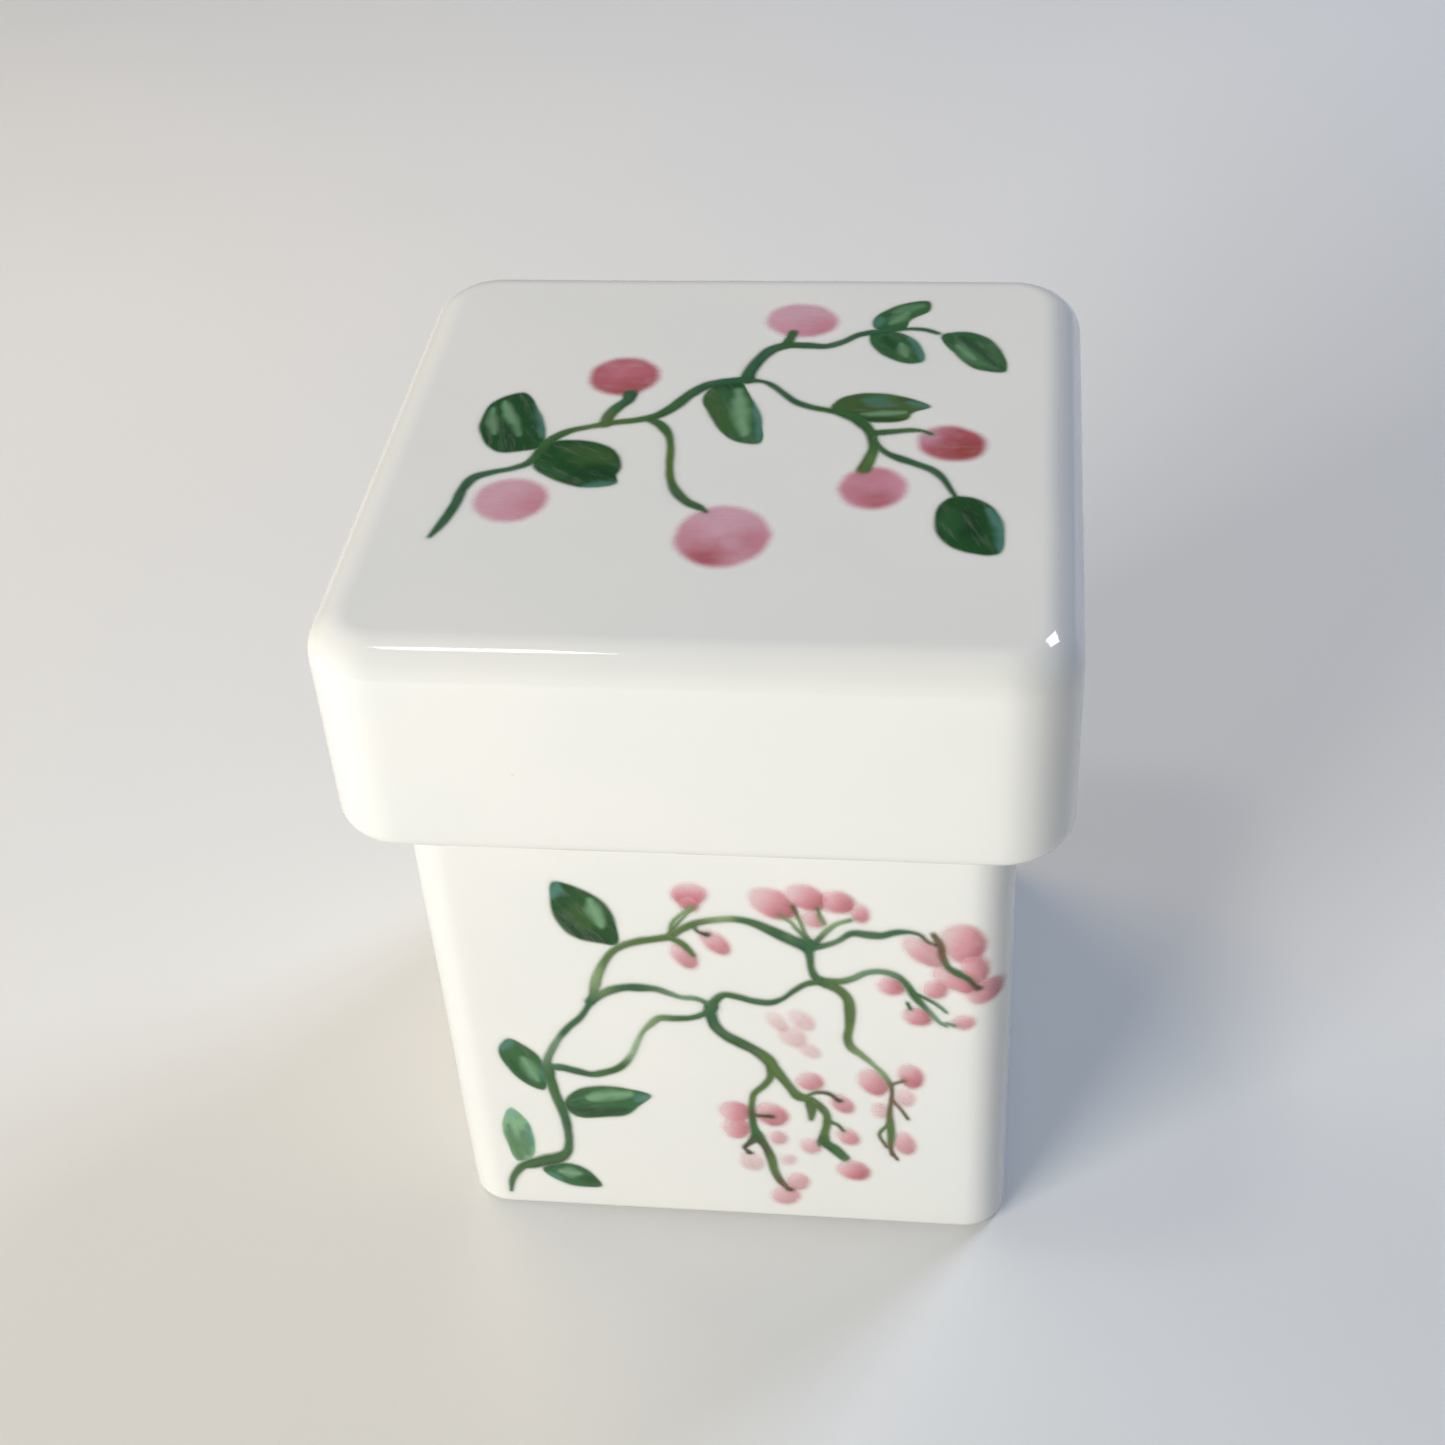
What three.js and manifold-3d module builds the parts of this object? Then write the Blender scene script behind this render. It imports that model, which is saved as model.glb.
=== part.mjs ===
// A small square porcelain powder jar with a deep overhanging lid.
// Both shells are slip-cast and hollow.  The lid's top and the jar's front carry a hand-painted
// spray of stems, leaves, berries and blossom, each stroke a thin film of fused enamel.
// Millimetres, +Z up, painted front towards -Y, origin at the middle of the foot on the table.

import * as THREE from 'three';
import { mergeVertices } from 'three/addons/utils/BufferGeometryUtils.js';
import Module from 'manifold-3d';

const wasm = await Module();
wasm.setup();

// ---------------------------------------------------------------- driving dimensions

const LID_WIDTH = 68;
const LID_HEIGHT = 22.5;
const LID_WALL = 3.4;
const LID_TOP_THICKNESS = 3.6;
const LID_CORNER = 7;
const LID_TOP_EDGE = 3.8;
const LID_HOLLOW_FILLET = 2;

const JAR_WIDTH = 57.6;
const JAR_WALL = 3.2;
const JAR_FLOOR = 4;
const JAR_CORNER = 4.2;
const JAR_CORNER_SHRINK = 0.6;
const JAR_FOOT_EDGE = 1.2;
const JAR_CHAMBER_FILLET = 2.4;

const TOTAL_HEIGHT = 80;
const RIM_EDGE = 0.8;
const FOOT_RING_WIDTH = 3;
const FOOT_RECESS = 0.8;

const FILM = 0.12;
const FILM_GAP = 0.02;
const STROKE_GAP = 0.18;

const CORNER_STEPS = 5;
const EDGE_STEPS = 4;
const STROKE_STEPS = 2;
const DAB_STEPS = 16;
const WELD = 1e-4;
const CUT_MARGIN = 1;
const RIGHT_ANGLE = Math.PI / 2;

const RIM_HEIGHT = TOTAL_HEIGHT - LID_TOP_THICKNESS;
const SKIRT_BOTTOM = TOTAL_HEIGHT - LID_HEIGHT;

// ---------------------------------------------------------------- finishes

const PORCELAIN = { color: '#eeede6', roughness: 0.12, metalness: 0 };
const LEAF_GREEN = { color: '#2f5a33', roughness: 0.25, metalness: 0 };
const STEM_GREEN = { color: '#45694c', roughness: 0.25, metalness: 0 };
const BERRY_PINK = { color: '#b77186', roughness: 0.3, metalness: 0 };
const BLOSSOM_PINK = { color: '#d596a0', roughness: 0.3, metalness: 0 };

// ---------------------------------------------------------------- the painting, on the lid
// A stem is a list of [right, up, width] along the middle of the stroke, in millimetres from
// the middle of the lid.  A leaf is a closed smooth outline of [right, up].  A berry is
// [right, up, half width, half height, turn in degrees].

const LID_STEMS = [
  [[-24.9, -16.2, 0.6], [-24.2, -14, 1.1], [-23.6, -11, 1.1], [-23.4, -8.5, 1.1],
    [-22.7, -6.6, 1.2], [-21.2, -5.7, 1], [-19.4, -5, 0.9], [-18, -4, 1], [-17.2, -2, 1.2],
    [-16.5, 0, 1.3], [-15, 1.6, 1], [-13, 2.5, 0.9], [-11, 3.2, 1.1], [-8.5, 3.8, 1],
    [-6.8, 4.6, 1.2], [-5.4, 6.2, 1.4], [-4, 8.6, 1.4], [-2.4, 10.3, 1.4], [0, 11.1, 1.3],
    [1.4, 11.3, 1.2]],
  [[1.2, 11.3, 1.5], [1.4, 13, 1.5], [2.2, 15.4, 1.4], [3.2, 17.1, 1.5], [4.6, 17.9, 1.3],
    [6.6, 17.9, 1.2], [8.6, 17.8, 1.1], [10.2, 18.7, 1], [11.6, 20, 1], [12.8, 20.5, 1.1],
    [14.5, 20.9, 0.9], [16.6, 21.3, 0.7], [18.2, 21.2, 0.8], [19.6, 20.5, 0.6]],
  [[1.4, 11.2, 0.8], [3, 10.9, 0.7], [4, 10.1, 0.8], [5, 8.9, 0.8], [6.4, 7.3, 0.9],
    [8, 6.4, 0.9], [9.6, 5.9, 0.9], [11.4, 5.2, 1.3], [12.8, 4, 1.4], [13.8, 2.4, 1.2],
    [14.2, 1, 1.1], [14.4, -0.6, 1.1], [14.1, -2.4, 1.3], [13.7, -4.2, 1.4]],
  [[14.6, 0.2, 0.6], [15.6, -1.3, 0.8], [17, -2.3, 1.1], [18.6, -3.2, 1], [20, -4.1, 0.9],
    [21, -5.4, 0.8], [21.7, -7, 0.7], [22.3, -8.4, 0.5]],
  [[14.3, 2, 1], [16, 2.3, 1], [17.8, 2.6, 0.8], [18.8, 2.5, 0.5], [19.7, 2, 0.4]],
  [[4.5, 18, 1.2], [4.8, 19.3, 1.1], [5, 20.4, 1]],
  [[-11.7, 3, 1.3], [-11.5, 4.6, 1.4], [-10.9, 6, 1.4], [-10.1, 7.3, 1.4], [-10, 8.4, 1.6]],
  [[-7.4, 3.9, 1], [-6.2, 2.8, 1.1], [-5.3, 1.2, 0.9], [-4.8, -1, 0.8], [-4.5, -4, 0.8],
    [-4.1, -6.4, 0.9], [-3.3, -8.4, 1.1], [-2.1, -10, 1.1], [-0.8, -10.9, 0.9],
    [-0.2, -11.5, 0.4]],
];

const LID_LEAVES = [
  [[-20.6, 8.5], [-22.4, 7.8], [-23.7, 6], [-24, 2.6], [-22.9, -0.6], [-21.3, -2.2],
    [-18.9, -2], [-17.4, -1.4], [-17.2, 1.2], [-18.4, 5]],
  [[-17.2, -1.2], [-15.6, 0], [-12.5, -0.1], [-10.2, -1.4], [-9, -4.2], [-9.3, -5.8],
    [-9.1, -7.2], [-12.2, -8], [-15.5, -6.5], [-17.6, -4.4]],
  [[0.4, 11.2], [1.6, 9], [3.1, 5.3], [3.6, 2.8], [3.6, 0], [1.4, 0.2], [-0.2, 1.6],
    [-1.9, 5], [-2.8, 7.6], [-1.8, 10.4]],
  [[9.8, 6.2], [11, 8.4], [14, 9.2], [17.2, 8.4], [19.4, 6.8], [17.9, 5.7], [17.2, 4.4],
    [14, 3.9], [11.4, 4.8]],
  [[13.3, 21.2], [12.9, 23], [14.9, 25.8], [18.5, 27], [18.6, 25], [16.8, 23.1],
    [16.2, 21.2]],
  [[13, 20.9], [16, 20.5], [17.8, 18.5], [18.4, 15.2], [16.8, 14.6], [14.2, 16.3],
    [12.8, 18.8]],
  [[20, 20.2], [22.6, 20.9], [24.8, 19.6], [26.3, 16.4], [26.4, 13.3], [23.4, 13.9],
    [21.2, 16.8]],
  [[22.2, -8.3], [24.4, -8.7], [26.2, -10.8], [26.9, -13.6], [26.3, -17.2], [23, -16.8],
    [20.8, -14.2], [20.6, -11.2], [21.2, -9.2]],
];

const LID_BERRIES = [
  [-18.6, -10.1, 3.4, 3.5, 0],
  [-11.1, 11.8, 3.5, 3.5, 0],
  [1.7, -15.2, 4.3, 4.7, 0],
  [5.7, 22.9, 3.7, 3.3, -20],
  [21.7, 0.5, 3.4, 2.8, -30],
  [14.7, -7.1, 3.1, 3.4, 0],
];

// ---------------------------------------------------------------- the painting, on the front
// The same forms, as [right, up] from the middle of the front's foot.

const FRONT_STEMS = [
  [[-24.1, 2.5, 0.4], [-23.8, 4.2, 0.8], [-23.2, 5.6, 1], [-22.3, 6.8, 1.2], [-21.2, 7.3, 1.6],
    [-19.8, 7.9, 1.8], [-18.3, 8.5, 1.7], [-17.3, 9.5, 1.2], [-16.9, 11, 1], [-16.8, 13, 1],
    [-16.9, 15, 1.1], [-17.2, 17, 1.2], [-17.6, 19, 1.2], [-17.8, 21, 1.2], [-17.9, 22.5, 1.4],
    [-17.9, 23.8, 1], [-17.3, 25.4, 0.9], [-16.4, 27.2, 0.8], [-15.2, 29, 0.9],
    [-13.8, 30.6, 0.8], [-13, 32, 0.7], [-12.3, 33.5, 1], [-11.9, 35.3, 1.1], [-11.4, 37, 1.1],
    [-10.6, 38.8, 0.9], [-9.7, 40.2, 0.9], [-8.6, 41.1, 0.9], [-7, 41.8, 1], [-5.4, 42.2, 1],
    [-4, 42.6, 0.9], [-2.8, 43.6, 0.9], [-1.2, 44.6, 0.9], [0.6, 45.1, 0.9], [2.5, 45.3, 0.9],
    [4.2, 44.9, 1.1], [6, 43.9, 1.4], [7.8, 42.8, 1.5], [9.3, 42, 1.6]],
  [[9.3, 42, 1.4], [10.8, 42.2, 0.8], [12.2, 42.9, 0.7], [13.6, 44, 0.9], [15.2, 43.9, 1],
    [16.4, 43.9, 0.9], [17.8, 44.4, 0.8], [19, 44.5, 0.6], [20, 44.2, 0.5], [20.8, 43.3, 0.4],
    [21.6, 42.9, 0.4]],
  [[9.3, 42.2, 1.2], [9.5, 40.6, 0.9], [9.6, 39, 0.8], [10, 37.8, 1], [10.8, 37.1, 1.2]],
  [[10.8, 37.3, 1], [12.4, 37.4, 0.9], [13.6, 37.9, 0.8], [14.8, 38.7, 0.8], [16.2, 39, 0.8],
    [17.6, 38.6, 0.9], [18.6, 37.6, 0.8], [19.4, 36, 0.9], [20.2, 34.7, 0.8], [21.2, 33.3, 0.6],
    [22, 32.2, 0.5], [22.6, 31.8, 0.4]],
  [[19.6, 36.1, 0.4], [20.8, 35.4, 0.4], [21.8, 34.6, 0.5], [22.6, 33.7, 0.3]],
  [[-12.6, 33, 1], [-11.6, 33.9, 1.1], [-10.4, 34.7, 1.1], [-9, 35.2, 1.1], [-7.4, 35.3, 1.1],
    [-5.8, 35.2, 0.9], [-4.6, 34.7, 0.8], [-3.4, 34.2, 0.7], [-2, 34.1, 0.7], [-1, 33.6, 0.7],
    [-0.4, 33, 1]],
  [[-0.4, 33, 1.2], [0, 34, 1], [0.9, 34.8, 0.9], [2.2, 34.6, 0.9], [3.8, 34.1, 0.9],
    [5.4, 34, 0.9], [6.6, 34.6, 0.7], [7.8, 35.8, 0.7], [9, 36.8, 0.8], [10.4, 37.3, 1]],
  [[-17.6, 23, 0.9], [-16.4, 22.9, 1.1], [-15, 22.5, 1], [-13.4, 22.1, 1], [-12, 22.5, 1],
    [-10.8, 23.1, 1], [-9.8, 24.1, 0.9], [-8.9, 25.7, 0.7], [-8.3, 27.3, 0.7], [-7.6, 28.9, 0.6],
    [-6.8, 30, 0.8], [-5.8, 31, 0.9], [-4.2, 31.1, 0.9], [-2.6, 31.3, 0.8], [-1.3, 31.9, 0.8],
    [-0.5, 32.8, 1]],
  [[-0.6, 33, 1.2], [-0.5, 31.4, 1.3], [-0.2, 30.2, 1.3], [0.8, 28.9, 1.3], [2.2, 27.9, 1.4],
    [3.6, 26.9, 1.4], [4.8, 25.6, 1.5], [5.4, 24.3, 1.5], [6.2, 22.9, 1.2], [7, 21.4, 1.1],
    [7.7, 20.3, 1.3], [8.8, 19.8, 1], [9.8, 18.9, 1.1], [10.5, 17.6, 0.9], [10.5, 16, 0.9],
    [10.2, 14.4, 1], [10.3, 13.2, 1.2], [11.2, 12.2, 1.4], [12.2, 10.9, 1.2]],
  [[5.2, 24.2, 1.2], [4.9, 22.8, 0.9], [4.2, 21.6, 0.8], [3.2, 20.3, 0.8], [2.9, 18.8, 0.7],
    [2.8, 17, 0.8], [2.9, 15.2, 0.9], [3.3, 13.6, 1.3], [4, 12, 1], [4.5, 10.2, 1.1],
    [4.8, 8.2, 1], [5.3, 6.6, 0.9], [6.1, 5.3, 0.6]],
  [[3, 13.3, 1.2], [2.3, 12.4, 0.7], [1.8, 11.7, 0.6], [2.2, 11, 0.4]],
  [[3, 16.9, 0.5], [4.6, 16.9, 0.5]],
  [[8.6, 20.4, 0.5], [9.6, 21, 0.6], [10.8, 20.9, 0.6], [11.7, 20, 0.4]],
  [[8.9, 19.6, 1.2], [9, 18.2, 1.1], [8.9, 16.8, 0.6]],
  [[10.6, 16.6, 0.7], [11.6, 16.1, 0.5], [12.2, 15.2, 0.3]],
  [[10.1, 14, 1], [9.7, 13.3, 0.7], [9.7, 12.8, 0.5]],
  [[11, 37, 1.2], [12.2, 36.2, 1.1], [13, 35, 1.2], [13.2, 33.2, 1.2], [13.1, 31, 1],
    [12.9, 29.4, 1], [13.2, 28.1, 1], [14.2, 27, 0.8], [15.4, 25.6, 0.6], [16.4, 24.2, 0.7],
    [17.1, 22.6, 0.6], [17.2, 20.8, 0.5], [17, 19, 0.6], [17, 17, 0.9], [17.1, 15, 0.9],
    [17, 13, 0.6], [17.2, 11.8, 0.4]],
  [[17.2, 20.4, 0.4], [18, 19.2, 0.4], [18.8, 17.6, 0.4]],
  [[17.2, 22.8, 0.4], [18.4, 23.4, 0.5]],
  [[-3.9, 42.9, 0.5], [-3.5, 44.6, 0.4], [-2.6, 45.7, 0.4], [-1.7, 46.6, 0.4]],
  [[-3.9, 42.5, 0.8], [-2.8, 41.7, 0.8], [-1.8, 40.2, 0.5]],
  [[-1.5, 44.1, 0.5], [-1.2, 43.5, 0.4], [-0.4, 43.1, 0.4]],
  [[9.7, 42.4, 0.9], [8.9, 43.6, 0.6], [8.3, 44.4, 0.5], [7.8, 45.2, 0.4], [6.8, 46, 0.4]],
  [[9.2, 43, 0.6], [8.8, 45, 0.4], [8.4, 46.2, 0.5], [8.1, 47.3, 0.5]],
  [[10, 42.4, 0.7], [11.2, 44.2, 0.7], [12.2, 45.2, 0.6], [13.5, 45.8, 0.5]],
  [[21.3, 44.3, 0.6], [21.9, 43, 0.9], [22.2, 41.4, 0.8], [22.7, 40, 0.8], [23.8, 39.1, 0.8],
    [24.8, 38.4, 0.5]],
];

const FRONT_LEAVES = [
  [[-9.2, 41.2], [-9, 43.8], [-9.9, 46.8], [-12, 48.6], [-14.7, 49.4], [-15.2, 46.8],
    [-14.8, 43.8], [-13, 41.8], [-10.6, 41.2]],
  [[-18.2, 21], [-18.4, 23.8], [-19.9, 25.9], [-21.6, 26.9], [-22.8, 25.2], [-22.1, 22.2],
    [-20.6, 20.2], [-18.7, 19.3]],
  [[-16.8, 17.4], [-15.2, 19.6], [-12.6, 20.4], [-9.8, 20.1], [-7.5, 19.2], [-8.9, 17.4],
    [-10.2, 16], [-13, 15.4], [-15.8, 15.4]],
  [[-22.8, 7.6], [-23.6, 10.6], [-23.8, 13.6], [-22.6, 16.2], [-21, 14.2], [-20.6, 11.4],
    [-21, 8.6]],
  [[-20.2, 6.6], [-17.4, 7.7], [-15.3, 6.7], [-14, 4.1], [-17, 3.9], [-19.2, 5]],
];

// Each blossom is one or more overlapping dabs: [right, up, half width, half height, turn].
const FRONT_BLOSSOMS = [
  [[-1.7, 48.4, 1.6, 1.3, 0], [-1.8, 47.4, 0.9, 1.2, 0]],
  [[0.4, 42, 1.8, 0.95, -52]],
  [[-2.7, 40.1, 1.8, 1, -65]],
  [[6.2, 47.5, 2.4, 1.6, -42], [9.4, 48.5, 2, 1.4, -35], [12.2, 48, 1.6, 1.3, -20]],
  [[9.9, 45.5, 1.1, 0.8, -30]],
  [[14.4, 46.7, 0.75, 1.2, 15]],
  [[24.1, 43.2, 2, 2.5, 15], [25.2, 39.9, 1.2, 2, 15], [23.4, 38.2, 2.4, 1.2, -35],
    [26.2, 36.6, 1.7, 1.5, 10]],
  [[20.3, 41.9, 2.5, 1.2, -44]],
  [[17.2, 36.9, 1.2, 1, -30]],
  [[21.5, 36.8, 1.1, 1.1, 0]],
  [[19.8, 32.9, 1.4, 1.1, -35]],
  [[24.2, 32.4, 1, 0.95, 0]],
  [[8.4, 31.6, 1.6, 0.9, -50]],
  [[6, 31.2, 1.5, 0.7, -60], [7.4, 29.2, 1.6, 1.1, -50], [9, 27.3, 1.3, 0.7, -45]],
  [[1.1, 17.4, 1.6, 1.4, 0], [1.1, 14.7, 1.3, 1.5, 0]],
  [[4.8, 17.2, 1.5, 1.8, 35]],
  [[5.3, 13.6, 0.8, 1, 20]],
  [[2.4, 9.5, 1.1, 1.5, 20]],
  [[6.3, 10.1, 0.8, 0.75, 0]],
  [[7.2, 6.6, 1.1, 1.3, 0], [5.8, 4.2, 1.4, 1.4, 0]],
  [[8.9, 22.6, 1.3, 1.2, -30]],
  [[12.1, 19.5, 0.9, 1.5, 30]],
  [[12.6, 14.3, 0.95, 1.4, 30]],
  [[8.8, 12.5, 1, 1.2, 20]],
  [[13.1, 8.9, 1.6, 1.4, -30]],
  [[19.1, 24.1, 1.1, 1.7, 15]],
  [[15.3, 22.9, 1.2, 2, 22]],
  [[18.5, 20.8, 0.8, 1.2, 10]],
  [[16, 18.6, 0.8, 1.1, 15]],
  [[18.4, 13.7, 1, 1.7, 15]],
];

// ---------------------------------------------------------------- lofted shells

// One level of a shell: a square with rounded corners, as points in order around +Z.
function squareRing(half, corner, z) {
  const ring = [];
  const centre = half - corner;
  const turns = [[1, 1], [-1, 1], [-1, -1], [1, -1]];
  turns.forEach(([sideX, sideY], quarter) => {
    for (let step = 0; step <= CORNER_STEPS; step += 1) {
      const angle = (quarter + step / CORNER_STEPS) * RIGHT_ANGLE;
      const x = sideX * centre + corner * Math.cos(angle);
      const y = sideY * centre + corner * Math.sin(angle);
      ring.push([x, y, z]);
    }
  });
  return ring;
}

// Joins a run of rings into one closed body, with a flat cap inside the first and last ring.
function loft(rings) {
  const around = rings[0].length;
  const vertices = rings.flat();
  const bottomMiddle = vertices.push([0, 0, rings[0][0][2]]) - 1;
  const topMiddle = vertices.push([0, 0, rings.at(-1)[0][2]]) - 1;
  const lastRing = (rings.length - 1) * around;
  const triangles = [];
  for (let i = 0; i < around; i += 1) {
    const next = (i + 1) % around;
    triangles.push([bottomMiddle, next, i], [topMiddle, lastRing + i, lastRing + next]);
    for (let low = 0; low < lastRing; low += around) {
      const high = low + around;
      triangles.push([low + i, low + next, high + next], [low + i, high + next, high + i]);
    }
  }
  const geometry = new THREE.BufferGeometry();
  geometry.setAttribute('position', new THREE.Float32BufferAttribute(vertices.flat(), 3));
  geometry.setIndex(triangles.flat());
  geometry.computeVertexNormals();
  return geometry;
}

// A quarter round between two levels.  The angles are those of the outward normal, in quarter
// turns: 0 faces away from the axis, 1 faces up, -1 faces down and 2 faces the axis.
function roundedEdge(half, z, radius, from, to, cornerOf) {
  const rings = [];
  for (let step = 0; step <= EDGE_STEPS; step += 1) {
    const angle = (from + (to - from) * (step / EDGE_STEPS)) * RIGHT_ANGLE;
    const reach = half + radius * Math.cos(angle);
    rings.push(squareRing(reach, cornerOf(reach), z + radius * Math.sin(angle)));
  }
  return rings;
}

function jarBody() {
  const outer = JAR_WIDTH / 2;
  const inner = outer - JAR_WALL;
  const footInner = outer - JAR_FOOT_EDGE - FOOT_RING_WIDTH;
  const cornerOf = (reach) => JAR_CORNER - (outer - reach) * JAR_CORNER_SHRINK;
  const recess = footInner - FOOT_RECESS;
  return loft([
    squareRing(recess, cornerOf(recess), FOOT_RECESS),
    squareRing(footInner, cornerOf(footInner), 0),
    ...roundedEdge(outer - JAR_FOOT_EDGE, JAR_FOOT_EDGE, JAR_FOOT_EDGE, -1, 0, cornerOf),
    ...roundedEdge(outer - RIM_EDGE, RIM_HEIGHT - RIM_EDGE, RIM_EDGE, 0, 1, cornerOf),
    ...roundedEdge(inner + RIM_EDGE, RIM_HEIGHT - RIM_EDGE, RIM_EDGE, 1, 2, cornerOf),
    ...chamberFillet(inner, cornerOf),
  ]);
}

// The hollow round between the chamber's wall and its floor.
function chamberFillet(inner, cornerOf) {
  const radius = JAR_CHAMBER_FILLET;
  const rings = [];
  for (let step = 0; step <= EDGE_STEPS; step += 1) {
    const angle = (step / EDGE_STEPS) * RIGHT_ANGLE;
    const reach = inner - radius * (1 - Math.cos(angle));
    const z = JAR_FLOOR + radius * (1 - Math.sin(angle));
    rings.push(squareRing(reach, cornerOf(reach), z));
  }
  return rings;
}

function lid() {
  const outer = LID_WIDTH / 2;
  const inner = outer - LID_WALL;
  const cornerOf = (reach) => LID_CORNER - (outer - reach);
  const edge = LID_WALL / 2;
  return loft([
    ...hollowFillet(inner, cornerOf),
    ...roundedEdge(outer - edge, SKIRT_BOTTOM + edge, edge, -2, 0, cornerOf),
    ...roundedEdge(outer - LID_TOP_EDGE, TOTAL_HEIGHT - LID_TOP_EDGE, LID_TOP_EDGE, 0, 1, cornerOf),
  ]);
}

// The hollow round between the lid's ceiling and its skirt.
function hollowFillet(inner, cornerOf) {
  const radius = LID_HOLLOW_FILLET;
  const rings = [];
  for (let step = 0; step <= EDGE_STEPS; step += 1) {
    const angle = (step / EDGE_STEPS) * RIGHT_ANGLE;
    const reach = inner - radius * (1 - Math.sin(angle));
    const z = RIM_HEIGHT - radius * (1 - Math.cos(angle));
    rings.push(squareRing(reach, cornerOf(reach), z));
  }
  return rings;
}

// ---------------------------------------------------------------- boolean helpers

function toSolid(geometry) {
  const bare = geometry.clone();
  bare.deleteAttribute('normal');
  bare.deleteAttribute('uv');
  const merged = mergeVertices(bare, WELD);
  const vertProperties = new Float32Array(merged.attributes.position.array);
  const triVerts = new Uint32Array(merged.index.array);
  return new wasm.Manifold(new wasm.Mesh({ numProp: 3, vertProperties, triVerts }));
}

function toGeometry(solid) {
  const mesh = solid.getMesh();
  const geometry = new THREE.BufferGeometry();
  const positions = new Float32Array(mesh.vertProperties);
  geometry.setAttribute('position', new THREE.BufferAttribute(positions, 3));
  geometry.setIndex(new THREE.BufferAttribute(new Uint32Array(mesh.triVerts), 1));
  geometry.computeVertexNormals();
  return geometry;
}

// A stroke that a stem crosses keeps its larger part.
function largestPart(solid) {
  return solid.decompose().reduce((best, part) => (part.volume() > best.volume() ? part : best));
}

// ---------------------------------------------------------------- strokes, as flat shapes

// The outline of a brush stroke whose middle runs through [x, y, width] points.
function stemShape(points, spread) {
  const middle = new THREE.CatmullRomCurve3(points.map((point) => new THREE.Vector3(...point)));
  const steps = (points.length - 1) * STROKE_STEPS;
  const left = [];
  const right = [];
  for (let step = 0; step <= steps; step += 1) {
    const place = middle.getPoint(step / steps);
    const along = middle.getTangent(step / steps).setZ(0).normalize();
    const side = new THREE.Vector2(-along.y, along.x).multiplyScalar(place.z / 2 + spread);
    left.push(new THREE.Vector2(place.x, place.y).add(side));
    right.push(new THREE.Vector2(place.x, place.y).sub(side));
  }
  return new THREE.Shape([...left, ...right.reverse()]);
}

function leafShape(points, spread) {
  const corners = points.map(([x, y]) => new THREE.Vector3(x, y, 0));
  const edge = new THREE.CatmullRomCurve3(corners, true);
  const middle = corners.reduce((sum, corner) => sum.add(corner), new THREE.Vector3());
  middle.divideScalar(corners.length);
  const outline = edge.getPoints(points.length * STROKE_STEPS).slice(0, -1).map((point) => {
    const grown = point.clone().sub(middle);
    grown.setLength(grown.length() + spread);
    return new THREE.Vector2(middle.x + grown.x, middle.y + grown.y);
  });
  return new THREE.Shape(outline);
}

function dabShape([x, y, halfWidth, halfHeight, turn], spread) {
  const angle = THREE.MathUtils.degToRad(turn);
  const curve = new THREE.EllipseCurve(x, y, halfWidth + spread, halfHeight + spread,
    0, 2 * Math.PI, false, angle);
  return new THREE.Shape(curve.getPoints(DAB_STEPS).slice(0, -1));
}

// ---------------------------------------------------------------- strokes, as films

// Both faces of the painting: how a flat shape stands over the face, and the thin shell of
// enamel that every stroke on that face is cut from.
const FACES = {
  lid: {
    place: new THREE.Matrix4().makeTranslation(0, 0, TOTAL_HEIGHT - CUT_MARGIN),
    depth: 2 * CUT_MARGIN,
    shell: slab(LID_WIDTH / 2 - LID_TOP_EDGE, TOTAL_HEIGHT + FILM_GAP),
  },
  front: {
    place: new THREE.Matrix4().set(
      1, 0, 0, 0,
      0, 0, -1, -JAR_WIDTH / 2 + JAR_CORNER,
      0, 1, 0, 0,
      0, 0, 0, 1,
    ),
    depth: JAR_CORNER + CUT_MARGIN,
    shell: sleeve(),
  },
};

function slab(half, z) {
  const corner = LID_CORNER - LID_TOP_EDGE;
  return toSolid(loft([squareRing(half, corner, z), squareRing(half, corner, z + FILM)]));
}

function sleeve() {
  const tube = (gap) => {
    const half = JAR_WIDTH / 2 + gap;
    const corner = JAR_CORNER + gap;
    return [squareRing(half, corner, JAR_FOOT_EDGE), squareRing(half, corner, SKIRT_BOTTOM)];
  };
  const outside = toSolid(loft(tube(FILM_GAP + FILM)));
  return outside.subtract(toSolid(loft(tube(FILM_GAP))));
}

function prism(shape, face) {
  const geometry = new THREE.ExtrudeGeometry(shape, { depth: face.depth, bevelEnabled: false });
  return toSolid(geometry.applyMatrix4(face.place));
}

function prisms(shapeOf, strokes, spread, face) {
  const solids = strokes.map((stroke) => prism(shapeOf(stroke, spread), face));
  return solids.reduce((whole, solid) => whole.add(solid));
}

// Lays down one painted motif after another.  Each keeps clear of the ones before it.
function paint(motifs, face) {
  const films = [];
  let taken = null;
  motifs.forEach(({ name, finish, shapeOf, strokes }) => {
    let body = prisms(shapeOf, strokes, 0, face).intersect(face.shell);
    if (taken) {
      body = largestPart(body.subtract(taken));
    }
    const claimed = prisms(shapeOf, strokes, STROKE_GAP, face);
    taken = taken ? taken.add(claimed) : claimed;
    films.push(namedMesh(name, toGeometry(body), finish));
  });
  return films;
}

function series(prefix, outlines, finish, shapeOf) {
  return outlines.map((strokes, i) => ({
    name: `${prefix}_${i + 1}`, finish, shapeOf, strokes,
  }));
}

// ---------------------------------------------------------------- assembly

function namedMesh(name, geometry, finish) {
  const mesh = new THREE.Mesh(geometry, new THREE.MeshStandardMaterial(finish));
  mesh.name = name;
  return mesh;
}

const single = (outlines) => outlines.map((outline) => [outline]);

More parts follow.
